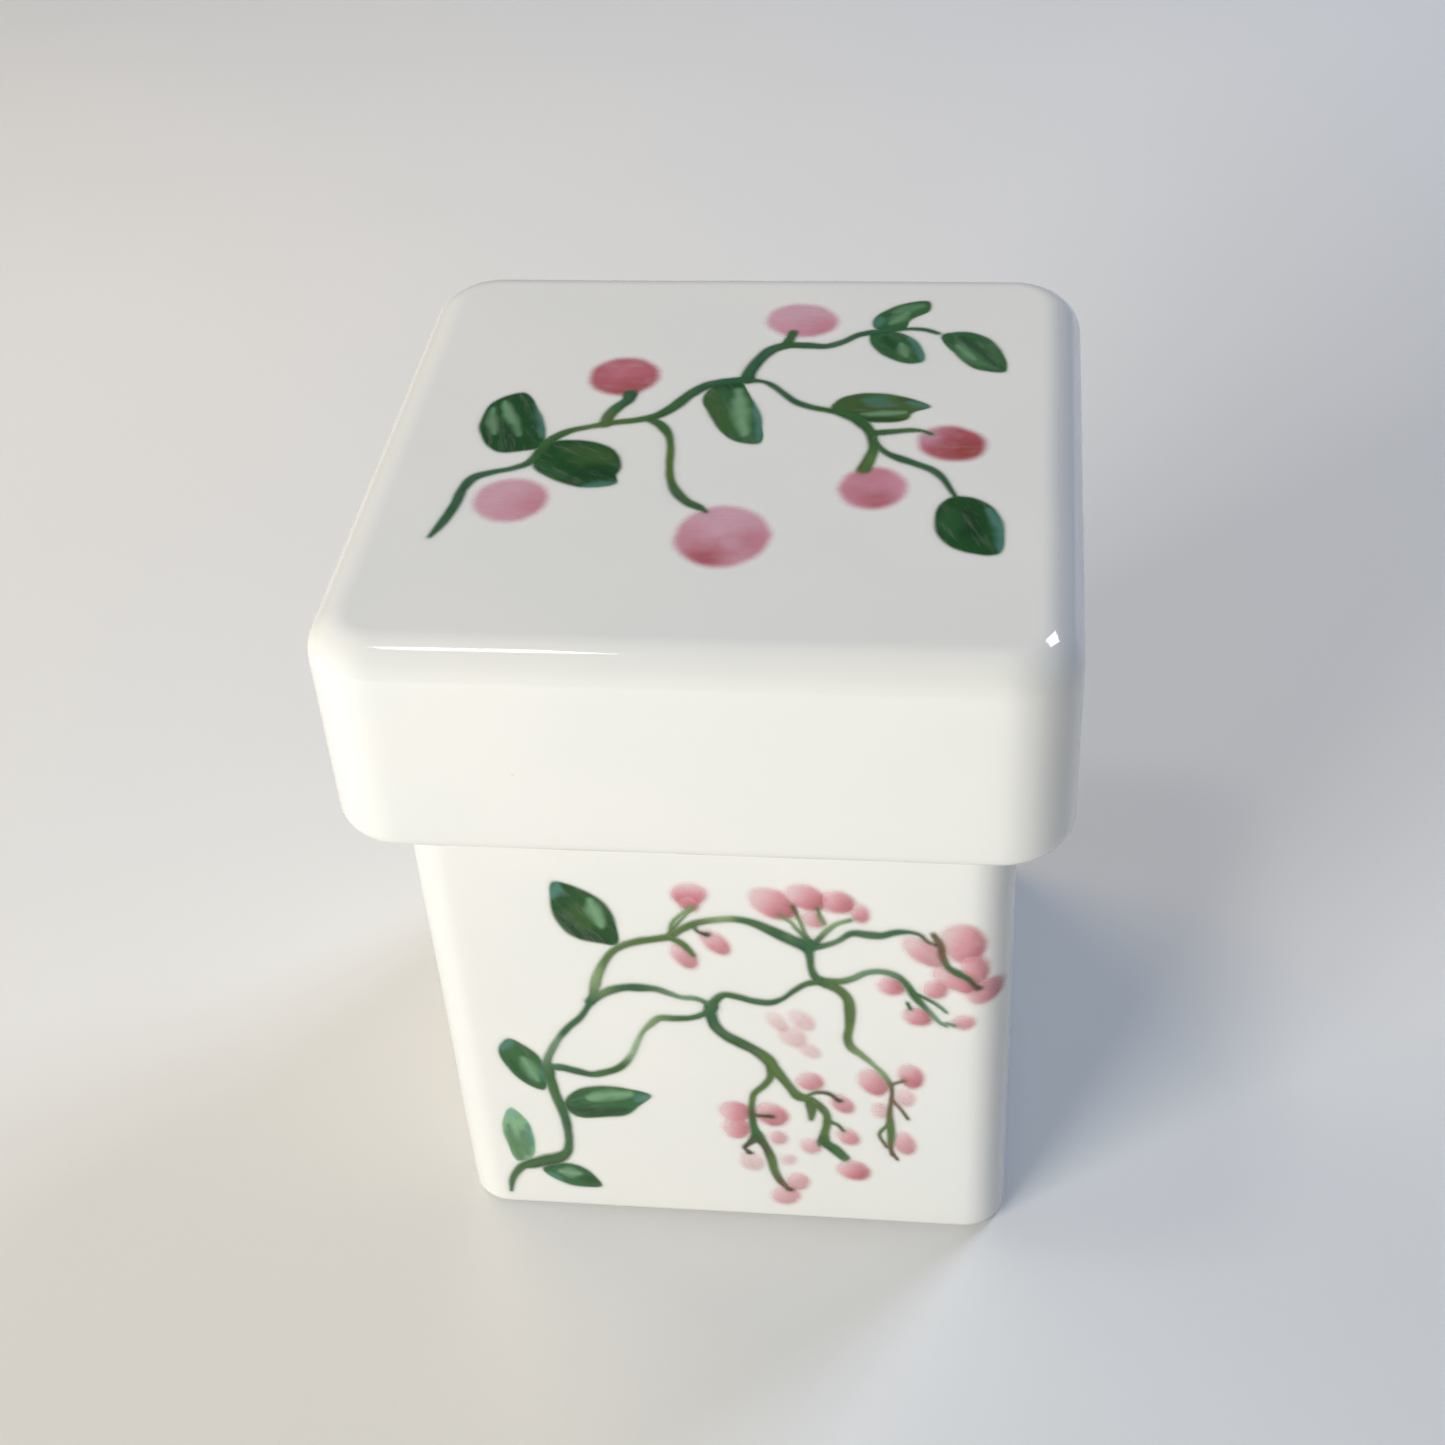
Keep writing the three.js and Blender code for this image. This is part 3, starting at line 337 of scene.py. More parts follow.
FRONT_LEAVES = [
    {"outline": [[-9.2, 41.2], [-9, 43.8], [-9.9, 46.8], [-12, 48.6], [-14.7, 49.4],
                 [-15.2, 46.8], [-14.8, 43.8], [-13, 41.8], [-10.6, 41.2]],
     "fill": "deep_green",
     "touches": [
         ["olive_green", 1.8, 0.5, [[-13, 46], [-12, 43.4]]],
         ["black_green", 0.9, 0.7, [[-14.4, 45], [-12.6, 42.2], [-10, 41.6]]],
         ["pale_green", 0.9, 0.8, [[-11.3, 47], [-10.9, 45.4], [-10.5, 43.6]]],
         ["deep_green", 0.6, 0.8, [[-9.7, 46.6], [-9.3, 43.4]]],
         ["teal", 0.9, 0.8, [[-14.9, 47.4], [-14.3, 49]]]]},
    {"outline": [[-18.2, 21], [-18.4, 23.8], [-19.9, 25.9], [-21.6, 26.9], [-22.8, 25.2],
                 [-22.1, 22.2], [-20.6, 20.2], [-18.7, 19.3]],
     "fill": "leaf_green",
     "touches": [
         ["pale_green", 0.9, 0.7, [[-20.4, 24], [-19.9, 22.4], [-19.2, 20.8]]],
         ["teal", 0.8, 0.75, [[-22.3, 25.4], [-21.4, 26.6]]],
         ["deep_green", 0.9, 0.6, [[-21.7, 23.6], [-20.6, 21.2]]],
         ["teal", 0.5, 0.7, [[-18.5, 22.6], [-18.5, 20.6]]]]},
    {"outline": [[-16.8, 17.4], [-15.2, 19.6], [-12.6, 20.4], [-9.8, 20.1], [-7.5, 19.2],
                 [-8.9, 17.4], [-10.2, 16], [-13, 15.4], [-15.8, 15.4]],
     "fill": "leaf_green",
     "touches": [
         ["pale_green", 0.9, 0.8, [[-14, 18.4], [-12, 19], [-9.8, 19.3]]],
         ["black_green", 1.1, 0.7, [[-16, 16.6], [-13, 16.2], [-10.4, 16.8]]],
         ["teal", 0.8, 0.75, [[-9, 18.4], [-7.9, 19]]]]},
    {"outline": [[-22.8, 7.6], [-23.6, 10.6], [-23.8, 13.6], [-22.6, 16.2], [-21, 14.2],
                 [-20.6, 11.4], [-21, 8.6]],
     "fill": "pale_green",
     "touches": [
         ["leaf_green", 0.8, 0.6, [[-23.2, 13.4], [-22.9, 10], [-22.4, 8]]],
         ["leaf_green", 0.9, 0.6, [[-21.8, 12.4], [-21.6, 9]]],
         ["teal", 0.6, 0.7, [[-21.1, 13.6], [-20.9, 10.4]]],
         ["pale_teal", 0.9, 0.8, [[-22.9, 15], [-22.3, 15.8]]]]},
    {"outline": [[-20.2, 6.6], [-17.4, 7.7], [-15.3, 6.7], [-14, 4.1], [-17, 3.9],
                 [-19.2, 5]],
     "fill": "leaf_green",
     "touches": [
         ["pale_green", 0.9, 0.8, [[-18.2, 6.2], [-16.4, 6]]],
         ["teal", 0.7, 0.7, [[-19.6, 5.8], [-18.4, 4.8]]],
         ["deep_green", 0.8, 0.8, [[-16, 5.2], [-14.6, 4.8]]]]},
]

# Each blossom is one or more overlapping dabs, pale where the brush was lifted and deep where
# it was pressed: [how strong the colour is, the way the deep end faces in degrees, dabs].
FRONT_BLOSSOMS = [
    [0.95, -85, [[-1.7, 48.4, 1.6, 1.3, 0], [-1.8, 47.4, 0.9, 1.2, 0]]],
    [0.85, -50, [[0.4, 42, 1.8, 0.95, -52]]],
    [0.85, -50, [[-2.7, 40.1, 1.8, 1, -65]]],
    [0.95, -30, [[6.2, 47.5, 2.4, 1.6, -42], [9.4, 48.5, 2, 1.4, -35],
                 [12.2, 48, 1.6, 1.3, -20]]],
    [0.80, -30, [[9.9, 45.5, 1.1, 0.8, -30]]],
    [0.90, -60, [[14.4, 46.7, 0.75, 1.2, 15]]],
    [0.90, -20, [[24.1, 43.2, 2, 2.5, 15], [25.2, 39.9, 1.2, 2, 15],
                 [23.4, 38.2, 2.4, 1.2, -35], [26.2, 36.6, 1.7, 1.5, 10]]],
    [0.80, -40, [[20.3, 41.9, 2.5, 1.2, -44]]],
    [0.95, -20, [[17.2, 36.9, 1.2, 1, -30]]],
    [0.90, -30, [[21.5, 36.8, 1.1, 1.1, 0]]],
    [0.95, -30, [[19.8, 32.9, 1.4, 1.1, -35]]],
    [0.80, -60, [[24.2, 32.4, 1, 0.95, 0]]],
    [0.50, -50, [[8.4, 31.6, 1.6, 0.9, -50]]],
    [0.45, -50, [[6, 31.2, 1.5, 0.7, -60], [7.4, 29.2, 1.6, 1.1, -50],
                 [9, 27.3, 1.3, 0.7, -45]]],
    [0.90, -10, [[1.1, 17.4, 1.6, 1.4, 0], [1.1, 14.7, 1.3, 1.5, 0]]],
    [0.95, -50, [[4.8, 17.2, 1.5, 1.8, 35]]],
    [0.70, -30, [[5.3, 13.6, 0.8, 1, 20]]],
    [0.50, -60, [[2.4, 9.5, 1.1, 1.5, 20]]],
    [0.50, -30, [[6.3, 10.1, 0.8, 0.75, 0]]],
    [0.75, -50, [[7.2, 6.6, 1.1, 1.3, 0], [5.8, 4.2, 1.4, 1.4, 0]]],
    [0.85, -40, [[8.9, 22.6, 1.3, 1.2, -30]]],
    [0.85, -60, [[12.1, 19.5, 0.9, 1.5, 30]]],
    [0.80, -40, [[12.6, 14.3, 0.95, 1.4, 30]]],
    [0.65, -60, [[8.8, 12.5, 1, 1.2, 20]]],
    [0.95, -35, [[13.1, 8.9, 1.6, 1.4, -30]]],
    [0.95, -50, [[19.1, 24.1, 1.1, 1.7, 15]]],
    [0.90, -35, [[15.3, 22.9, 1.2, 2, 22]]],
    [0.55, -60, [[18.5, 20.8, 0.8, 1.2, 10]]],
    [0.55, 0, [[16, 18.6, 0.8, 1.1, 15]]],
    [0.80, -40, [[18.4, 13.7, 1, 1.7, 15]]],
]

# ---------------------------------------------------------------- how the enamel lies
# A stroke fades across its blur either side of its outline, and a thin halo of oil-carried
# colour reaches HALO out.

GREEN_BLUR = 0.26
BERRY_BLUR = 0.52
PETAL_BLUR = 0.42
PETAL_SPREAD = 0.14
HALO = 0.8
HALO_COVER = 0.09
BURIED = 0.02
PINK_LAYER = 0.006
LEAF_LAYER = 0.03
STEM_LAYER = 0.045
CROWN = 0.02
STROKE_LIFT = 0.0006

# How far paint on the front may reach round an upright edge, as the sine of its turn.
EDGE_REACH = 0.98

# Outlines waver by hand: how far, and over what length.
WOBBLE_LENGTH = 1.9
LEAF_WOBBLE = 0.1
DAB_WOBBLE = 0.16
STEM_WOBBLE = 0.12
STEM_WOBBLE_LENGTH = 1.6
THINNEST_STEM = 0.2

# The tone along a branch is a mean of those near it; patches are [length, height] waves.
TONE_SPREAD = 0.8
TONE_FALLOFF = 4
MOTTLE_WAVES = [(2.4, 0.6), (0.8, 0.4)]
GREEN_MOTTLE = 0.25
PINK_MOTTLE = 0.06

# Steps from one stroke to the next through the noise, so that neighbours differ.
SEED_SHIFT = (17.3, 5.1, 29.7)
GRAIN_SHIFT = 7.7

STEM_STEP = 0.25
STEM_END_TURNS = [80, 62, 45, 30, 15]
LEAF_AROUND = 112
LEAF_RINGS = 18
BERRY_AROUND = 112
BERRY_RINGS = 18
PETAL_AROUND = 56
PETAL_RINGS = 8


# ---------------------------------------------------------------- small helpers

def smoothstep(low, high, value):
    part = np.clip((value - low) / (high - low), 0, 1)
    return part * part * (3 - 2 * part)


def in_plane(flat):
    """The same points with a third coordinate of zero."""
    return np.column_stack([flat, np.zeros(len(flat))])


def perlin(points, wavelength, seed=0):
    """Perlin noise at each point, from about -1 to 1."""
    shift = Vector([part * seed for part in SEED_SHIFT])
    return np.array([noise.noise(Vector(point) / wavelength + shift) for point in points])


def unevenness(points):
    return sum(height * perlin(points, wavelength) for wavelength, height in WAVES)


def smooth_curve(points, closed, step):
    """Points a step apart along a centripetal Catmull-Rom curve through the given points."""
    points = np.array(points, float)
    if closed:
        padded = np.vstack([points[-1], points, points[:2]])
    else:
        padded = np.vstack([2 * points[0] - points[1], points, 2 * points[-1] - points[-2]])
    run = []
    for before, start, end, after in zip(padded, padded[1:], padded[2:], padded[3:]):
        spans = [math.sqrt(np.linalg.norm(b - a)) for a, b in
                 ((before, start), (start, end), (end, after))]
        leave = ((start - before) / spans[0] - (end - before) / (spans[0] + spans[1])
                 + (end - start) / spans[1]) * spans[1]
        arrive = ((end - start) / spans[1] - (after - start) / (spans[1] + spans[2])
                  + (after - end) / spans[2]) * spans[1]
        count = max(2, math.ceil(np.linalg.norm((end - start)[:2]) / step))
        t = np.arange(count)[:, None] / count
        run.append(start + leave * t + (3 * (end - start) - 2 * leave - arrive) * t ** 2
                   + (leave + arrive - 2 * (end - start)) * t ** 3)
    if not closed:
        run.append(points[-1:])
    return np.vstack(run)


def distance_to(points, path):
    """How far each point is from a path of straight runs, and how far along the nearest is."""
    path = np.array(path, float)
    lengths = np.linalg.norm(np.diff(path, axis=0), axis=1)
    nearest = np.full(len(points), np.inf)
    reached = np.zeros(len(points))
    for order, (start, end) in enumerate(zip(path, path[1:])):
        run = end - start
        along = np.clip((points - start) @ run / (run @ run), 0, 1)
        gap = np.linalg.norm(points - start - along[:, None] * run, axis=1)
        place = (lengths[:order].sum() + along * lengths[order]) / lengths.sum()
        reached = np.where(gap < nearest, place, reached)
        nearest = np.minimum(nearest, gap)
    return nearest, reached


def ring_faces(rings, around):
    """Quads between rings of vertices, each ring joined to the next."""
    faces = []
    for low in range(0, (rings - 1) * around, around):
        for i in range(around):
            after = (i + 1) % around
            faces.append((low + i, low + after, low + around + after, low + around + i))
    return faces


def new_mesh(name, vertices, faces):
    mesh = bpy.data.meshes.new(name)
    mesh.from_pydata((np.asarray(vertices) * MM).tolist(), [], faces)
    mesh.validate()
    mesh.shade_smooth()
    return mesh


def new_piece(name, mesh, material):
    mesh.materials.append(material)
    piece = bpy.data.objects.new(name, mesh)
    bpy.context.scene.collection.objects.link(piece)
    return piece


def store(mesh, name, kind, values):
    """Keeps one value per vertex in the mesh: FLOAT, FLOAT_VECTOR or FLOAT_COLOR."""
    layer = mesh.attributes.new(name, kind, "POINT")
    field = {"FLOAT": "value", "FLOAT_VECTOR": "vector", "FLOAT_COLOR": "color"}[kind]
    layer.data.foreach_set(field, np.asarray(values, np.float32).ravel())


# ---------------------------------------------------------------- porcelain shells

def square_ring(half, corner, z):
    """A rounded square, anticlockwise from the middle of its front right corner."""
    centre = half - corner
    turn = np.radians(np.linspace(-45, 45, CORNER_STEPS + 1))
    middle = CORNER_STEPS // 2
    arc = corner * np.stack([np.cos(turn), np.sin(turn)], 1)
    straight = np.linspace(-centre, centre, SIDE_STEPS + 1)[1:-1]
    side = np.vstack([
        arc[:middle + 1] + [centre, -centre],
        np.stack([np.full(len(straight), half), straight], 1),
        arc[middle:-1] + [centre, centre],
    ])
    quarter = np.array([[0, 1], [-1, 0]])
    sides = [side]
    for _ in range(3):
        sides.append(sides[-1] @ quarter)
    flat = np.vstack(sides)
    return np.column_stack([flat, np.full(len(flat), z)])


def rounded(half, z, radius, start, end):
    """A round stretch of a profile.  Turns are those of the outward normal in degrees."""
    turn = np.radians(np.linspace(start, end, EDGE_STEPS + 1))
    return list(zip(half + radius * np.cos(turn), z + radius * np.sin(turn)))


def straight_run(profile):
    """Adds levels to the long straight stretches of a profile of [half width, height]."""
    filled = [profile[0]]
    for (half, z), (next_half, next_z) in zip(profile, profile[1:]):
        count = max(1, round(math.hypot(next_half - half, next_z - z) / WALL_STEP))
        for step in range(1, count + 1):
            part = step / count
            filled.append((half + (next_half - half) * part, z + (next_z - z) * part))
    return filled


def cap_grid(ring):
    """A square grid of points inside a ring, whose edge is the ring itself."""
    count = len(ring) // 4
    right = ring[:count + 1]
    back = ring[count:2 * count + 1]
    left = ring[2 * count:3 * count + 1][::-1]
    front = np.vstack([ring[3 * count:], ring[:1]])[::-1]
    part = np.linspace(0, 1, count + 1)
    u = part[:, None, None]
    v = part[None, :, None]
    return ((1 - v) * right[:, None] + v * left[:, None] + (1 - u) * front[None]
            + u * back[None] - (1 - u) * (1 - v) * right[0] - u * (1 - v) * right[-1]
            - (1 - u) * v * left[0] - u * v * left[-1])


def add_cap(vertices, faces, ring, first, faces_up):
    """Closes a ring, whose first vertex is number first, with a grid of quads."""
    grid = cap_grid(ring)
    count = len(grid) - 1
    number = np.zeros((count + 1, count + 1), int)
    around = np.arange(count + 1)
    number[:, 0] = first + around
    number[count, :] = first + count + around
    number[:, count] = first + 3 * count - around
    number[0, 1:] = first + 4 * count - around[1:]
    inside = grid[1:-1, 1:-1].reshape(-1, 3)
    number[1:-1, 1:-1] = (len(vertices) + np.arange(len(inside))).reshape(count - 1, count - 1)
    vertices.extend(inside)
    for i in range(count):
        for j in range(count):
            quad = [number[i, j], number[i + 1, j], number[i + 1, j + 1], number[i, j + 1]]
            faces.append(quad if faces_up else quad[::-1])


def shell_mesh(name, profile, corner_of):
    """A closed shell lofted through a profile that runs from its underside to its last cap."""
    rings = [square_ring(half, corner_of(half), z) for half, z in straight_run(profile)]
    around = len(rings[0])
    vertices = [point for ring in rings for point in ring]
    faces = ring_faces(len(rings), around)
    add_cap(vertices, faces, rings[0], 0, False)
    add_cap(vertices, faces, rings[-1], (len(rings) - 1) * around, True)
    faces = [[int(corner) for corner in face] for face in faces]
    ideal = np.array(vertices)
    flat = new_mesh(name + "_flat", ideal, faces)
    normals = np.zeros(len(ideal) * 3, np.float32)
    flat.vertex_normals.foreach_get("vector", normals)
    bpy.data.meshes.remove(flat)
    moved = ideal + normals.reshape(-1, 3) * unevenness(ideal)[:, None]
    moved[:, 2] = np.maximum(moved[:, 2], JAR_LOW[2])
    return new_mesh(name, moved, faces), ideal


def jar_profile():
    outer = JAR_HALF
    inner = outer - JAR_WALL
    foot_inner = outer - JAR_FOOT_EDGE - FOOT_RING_WIDTH
    recess = foot_inner - FOOT_RECESS
    return [
        (recess, FOOT_RECESS),
        (foot_inner - FOOT_RECESS / 4, FOOT_RECESS / 4),
        (foot_inner, 0),
        *rounded(outer - JAR_FOOT_EDGE, JAR_FOOT_EDGE, JAR_FOOT_EDGE, -90, 0),
        *rounded(outer - RIM_EDGE, RIM_TOP - RIM_EDGE, RIM_EDGE, 0, 90),
        *rounded(inner + RIM_EDGE, RIM_TOP - RIM_EDGE, RIM_EDGE, 90, 180),
        *rounded(inner - JAR_CHAMBER_FILLET, JAR_FLOOR + JAR_CHAMBER_FILLET,
                 JAR_CHAMBER_FILLET, 0, -90),
    ]


def lid_profile():
    outer = LID_HALF
    inner = outer - LID_WALL
    edge = LID_WALL / 2
    return [
        *rounded(inner - LID_HOLLOW_FILLET, RIM_TOP - LID_HOLLOW_FILLET,
                 LID_HOLLOW_FILLET, 90, 0),
        *rounded(outer - edge, SKIRT_BOTTOM + edge, edge, -180, 0),
        *rounded(outer - LID_TOP_EDGE, LID_TOP - LID_TOP_EDGE, LID_TOP_EDGE, 0, 90),
    ]


def make_shells(porcelain):
    """Both shells, with a bare attribute where the glaze was wiped off before firing."""
    jar_mesh, ideal = shell_mesh(
        "jar_shell", jar_profile(), lambda half: JAR_CORNER - (JAR_HALF - half) * JAR_CORNER_SHRINK)
    foot = smoothstep(*FOOT_BARE, ideal[:, 2])
    inner_edge = JAR_HALF - JAR_WALL
    reach = np.abs(ideal[:, :2]).max(1)
    whole, gone = RIM_BARE
    rim = smoothstep(RIM_TOP - whole, RIM_TOP - gone, ideal[:, 2]) * (reach > inner_edge)
    store(jar_mesh, "bare", "FLOAT", np.maximum(foot, rim))
    jar_shell = new_piece("jar_shell", jar_mesh, porcelain)
    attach(jar_shell, "jar")
    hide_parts("jar_body")

    lid_mesh, ideal = shell_mesh(
        "lid_shell", lid_profile(), lambda half: LID_CORNER - (LID_HALF - half))
    reach = np.abs(ideal[:, :2]).max(1)
    ceiling = smoothstep(RIM_TOP - 0.1, RIM_TOP, ideal[:, 2]) * (ideal[:, 2] < RIM_TOP + 0.5)
    seat = ceiling * smoothstep(*SEAT_BARE, np.abs(reach - (JAR_HALF - JAR_WALL / 2)) - 1)
    whole, gone = SKIRT_BARE
    skirt = smoothstep(SKIRT_BOTTOM + whole, SKIRT_BOTTOM + gone, ideal[:, 2])
    store(lid_mesh, "bare", "FLOAT", np.maximum(seat, skirt))
    lid_shell = new_piece("lid_shell", lid_mesh, porcelain)
    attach(lid_shell, "lid")
    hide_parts("lid")


# ---------------------------------------------------------------- enamel films

def on_lid(flat):
    """The place on the lid's top, and the way out of it, for each [right, up]."""
    count = len(flat)
    places = np.column_stack([flat, np.full(count, LID_TOP)])
    return places, np.tile([0.0, 0.0, 1.0], (count, 1))


def on_front(flat):
    """The place on the jar's front and its rounded upright edges, and the way out of it."""
    straight = JAR_HALF - JAR_CORNER
    beyond = np.clip((np.abs(flat[:, 0]) - straight) / JAR_CORNER, 0, EDGE_REACH)
    turn = np.arcsin(beyond)
    side = np.sign(flat[:, 0])
    y = -(straight + JAR_CORNER * np.cos(turn))
    places = np.column_stack([flat[:, 0], y, flat[:, 1]])
    return places, np.column_stack([side * np.sin(turn), -np.cos(turn), np.zeros(len(flat))])


def cover_at(inside, half_width, blur):
    """How thickly the colour lies at a distance inside the outline of a stroke."""
    solid = smoothstep(-blur, np.minimum(blur, half_width), inside)
    halo = smoothstep(-HALO, 0, inside)
    return HALO_COVER * halo + (1 - HALO_COVER) * solid


def edge_reaches(blur):
    """Distances outside an outline where the film's mesh has a row of vertices."""
    return [HALO, (HALO + blur) / 2, blur, blur / 2, 0]


def stem_sheet(points, layer, seed):
    """One stroke of a stem: its flat mesh, height, cover and grain."""
    path = smooth_curve(points, False, STEM_STEP)
    along = np.gradient(path[:, :2], axis=0)
    along /= np.linalg.norm(along, axis=1)[:, None]
    half = np.maximum(path[:, 2], THINNEST_STEM) / 2
    half = half * (1 + STEM_WOBBLE * perlin(in_plane(path[:, :2]), STEM_WOBBLE_LENGTH, seed))
    rows = []
    for end, way in ((0, -1), (-1, 1)):
        reach = half[end] + HALO
        past = reach * np.sin(np.radians(STEM_END_TURNS))
        spot = path[end, :2] + way * past[:, None] * along[end]
        cap = [(place, along[end], half[end], beyond) for place, beyond in zip(spot, past)]
        rows.append(cap if way < 0 else cap[::-1])
    body = [(place, way, width, 0.0) for place, way, width in zip(path[:, :2], along, half)]
    stations = rows[0] + body + rows[1]
    across = [-1, -2 / 3, -1 / 3, 0, 1 / 3, 2 / 3, 1]
    edges = edge_reaches(GREEN_BLUR)[:-1]
    flat, inside, width, grain = [], [], [], []
    length = 0.0
    last = stations[0][0]
    for place, way, half_here, beyond in stations:
        length += float(np.linalg.norm(place - last))
        last = place
        outer = [half_here + reach for reach in edges]
        offsets = [-reach for reach in outer] + [part * half_here for part in across]
        offsets += outer[::-1]
        squeeze = math.sqrt(max(1 - (beyond / (half_here + HALO)) ** 2, 0))
        for offset in offsets:
            gap = offset * squeeze
            flat.append(place + gap * np.array([-way[1], way[0]]))
            inside.append(half_here - math.hypot(gap, beyond))
            width.append(half_here)
            grain.append((length, offset, seed * GRAIN_SHIFT))
    columns = len(across) + 2 * len(edges)
    faces = []
    for row in range(len(stations) - 1):
        for column in range(columns - 1):
            a = row * columns + column
            faces.append((a + 1, a + columns + 1, a + columns, a))
    inside = np.array(inside)
    width = np.array(width)
    crown = np.sqrt(np.clip(inside / width, 0, 1))
    return {
        "flat": np.array(flat), "faces": faces, "grain": np.array(grain),
        "cover": cover_at(inside, width, GREEN_BLUR), "height": layer + CROWN * crown,
    }


def round_sheet(outline, layer, rings, seed, wobble, blur, grain_turn):
    """A leaf or a dab: rings of vertices from a closed outline in to its middle."""
    middle = outline.mean(0)
    spokes = outline - middle
    reach = np.linalg.norm(spokes, axis=1)
    way = spokes / reach[:, None]
    ripple = perlin(in_plane(outline), WOBBLE_LENGTH, seed)
    reach = reach + wobble * ripple
    insets = [-gap for gap in edge_reaches(blur)] + [blur / 2, blur]
    parts = np.linspace(1, 0, rings + 1)[1:-1]
    radii = [reach - inset for inset in insets] + [(reach - blur) * part for part in parts]
    flat = [middle + way * radius[:, None] for radius in radii] + [middle[None]]
    inside = np.concatenate([reach - radius for radius in radii] + [[reach.mean()]])
    flat = np.vstack(flat)
    around = len(outline)
    faces = ring_faces(len(radii), around)
    last = (len(radii) - 1) * around
    for i in range(around):
        faces.append((last + i, last + (i + 1) % around, last + around))
    turn = math.radians(grain_turn)
    spread = flat - middle
    along = spread @ [math.cos(turn), math.sin(turn)]
    across = spread @ [-math.sin(turn), math.cos(turn)]
    half = reach.min()
    bulge = np.sqrt(np.clip(inside / half, 0, 1))
    return {
        "flat": flat, "faces": faces, "middle": middle, "inside": inside,
        "grain": np.column_stack([along, across, np.full(len(flat), seed * GRAIN_SHIFT)]),
        "cover": cover_at(inside, half, blur), "height": layer + CROWN * bulge,
    }


def film_mesh(name, sheets, place_on):
    """Joins sheets into closed thin bodies that lie in the glaze, with their paint stored."""
    vertices, faces, paint, cover, grain = [], [], [], [], []
    for sheet in sheets:
        first = sum(len(part) for part in vertices)
        places, out = place_on(sheet["flat"])
        lift = unevenness(places)
        top = places + out * (lift + sheet["height"])[:, None]
        bottom = places + out * (lift - BURIED)[:, None]
        count = len(top)
        vertices += [top, bottom]
        faces += [tuple(first + corner for corner in face) for face in sheet["faces"]]
        faces += [tuple(first + count + corner for corner in face[::-1])
                  for face in sheet["faces"]]
        steps = set()
        for face in sheet["faces"]:
            steps.update(zip(face, face[1:] + face[:1]))
        for start, end in sorted(steps):
            if (end, start) not in steps:
                faces.append((first + end, first + start,
                              first + count + start, first + count + end))
        paint += [sheet["paint"], sheet["paint"]]
        cover += [sheet["cover"], sheet["cover"]]
        grain += [sheet["grain"], sheet["grain"]]
    mesh = new_mesh(name, np.vstack(vertices), faces)
    colours = np.vstack(paint)
    store(mesh, "paint", "FLOAT_COLOR", np.column_stack([colours, np.ones(len(colours))]))
    store(mesh, "cover", "FLOAT", np.concatenate(cover))
    store(mesh, "grain", "FLOAT_VECTOR", np.vstack(grain))
    return mesh


def film(node, sheets, place_on, slot, body):
    mesh = film_mesh(node + "_paint", sheets, place_on)
    piece = new_piece(node + "_paint", mesh, ENAMELS[slot])
    piece.visible_shadow = False
    piece.visible_diffuse = False
    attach(piece, body)
    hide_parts(node)


# ---------------------------------------------------------------- mixing the paint

def wash(paint, pigment, strength):
    """Mixes a pigment into the paint, by a strength for each vertex."""
    part = np.clip(strength, 0, 1)[:, None]
    return paint * (1 - part) + np.array(PIGMENTS[pigment]) * part


def mottle(paint, flat, seed, amount):
    """Makes the paint a little lighter and darker in soft patches."""
    wave = sum(height * perlin(in_plane(flat), wavelength, seed + order)
               for order, (wavelength, height) in enumerate(MOTTLE_WAVES))
    return paint * (1 + amount * wave)[:, None]


def stem_paint(sheet, tones, seed):
    """Blends the tones set along the branches by how near they are, darker on one edge."""
    flat = sheet["flat"]
    places = np.array([place for spots in tones.values() for place in spots])
    colours = np.array([PIGMENTS[pigment] for pigment, spots in tones.items() for _ in spots])
    gap = np.linalg.norm(flat[:, None] - places[None], axis=2)
    weight = 1 / (gap + TONE_SPREAD) ** TONE_FALLOFF
    paint = weight @ colours / weight.sum(1)[:, None]
    across = np.clip(sheet["grain"][:, 1] / 0.6, -1, 1)
    paint = paint * (1.08 - 0.22 * across ** 2 + 0.14 * across)[:, None]
    return mottle(paint, flat, seed, GREEN_MOTTLE)


def leaf_paint(sheet, leaf, seed):
    flat = sheet["flat"]
    paint = np.tile(PIGMENTS[leaf["fill"]], (len(flat), 1))
    paint = mottle(paint, flat, seed, GREEN_MOTTLE)
    jitter = 0.3 * perlin(in_plane(flat), 1.3, seed + 2)
    for pigment, width, strength, path in leaf["touches"]:
        gap, along = distance_to(flat, path)
        lifted = 1 - 0.5 * (2 * along - 1) ** 2
        reach = width * 1.5 * lifted
        paint = wash(paint, pigment, strength * smoothstep(reach, 0, gap + jitter * width))
    return paint


def berry_paint(sheet, berry, seed):
    flat = sheet["flat"]
    paint = np.tile(PIGMENTS[berry["fill"]], (len(flat), 1))
    jitter = 0.5 * perlin(in_plane(flat), 1.8, seed)
    for pigment, reach, strength, place in berry["tones"]:
        gap = np.linalg.norm(flat - place, axis=1) + jitter
        paint = wash(paint, pigment, strength * smoothstep(reach * 1.3, reach * 0.1, gap))
    return mottle(paint, flat, seed, PINK_MOTTLE)


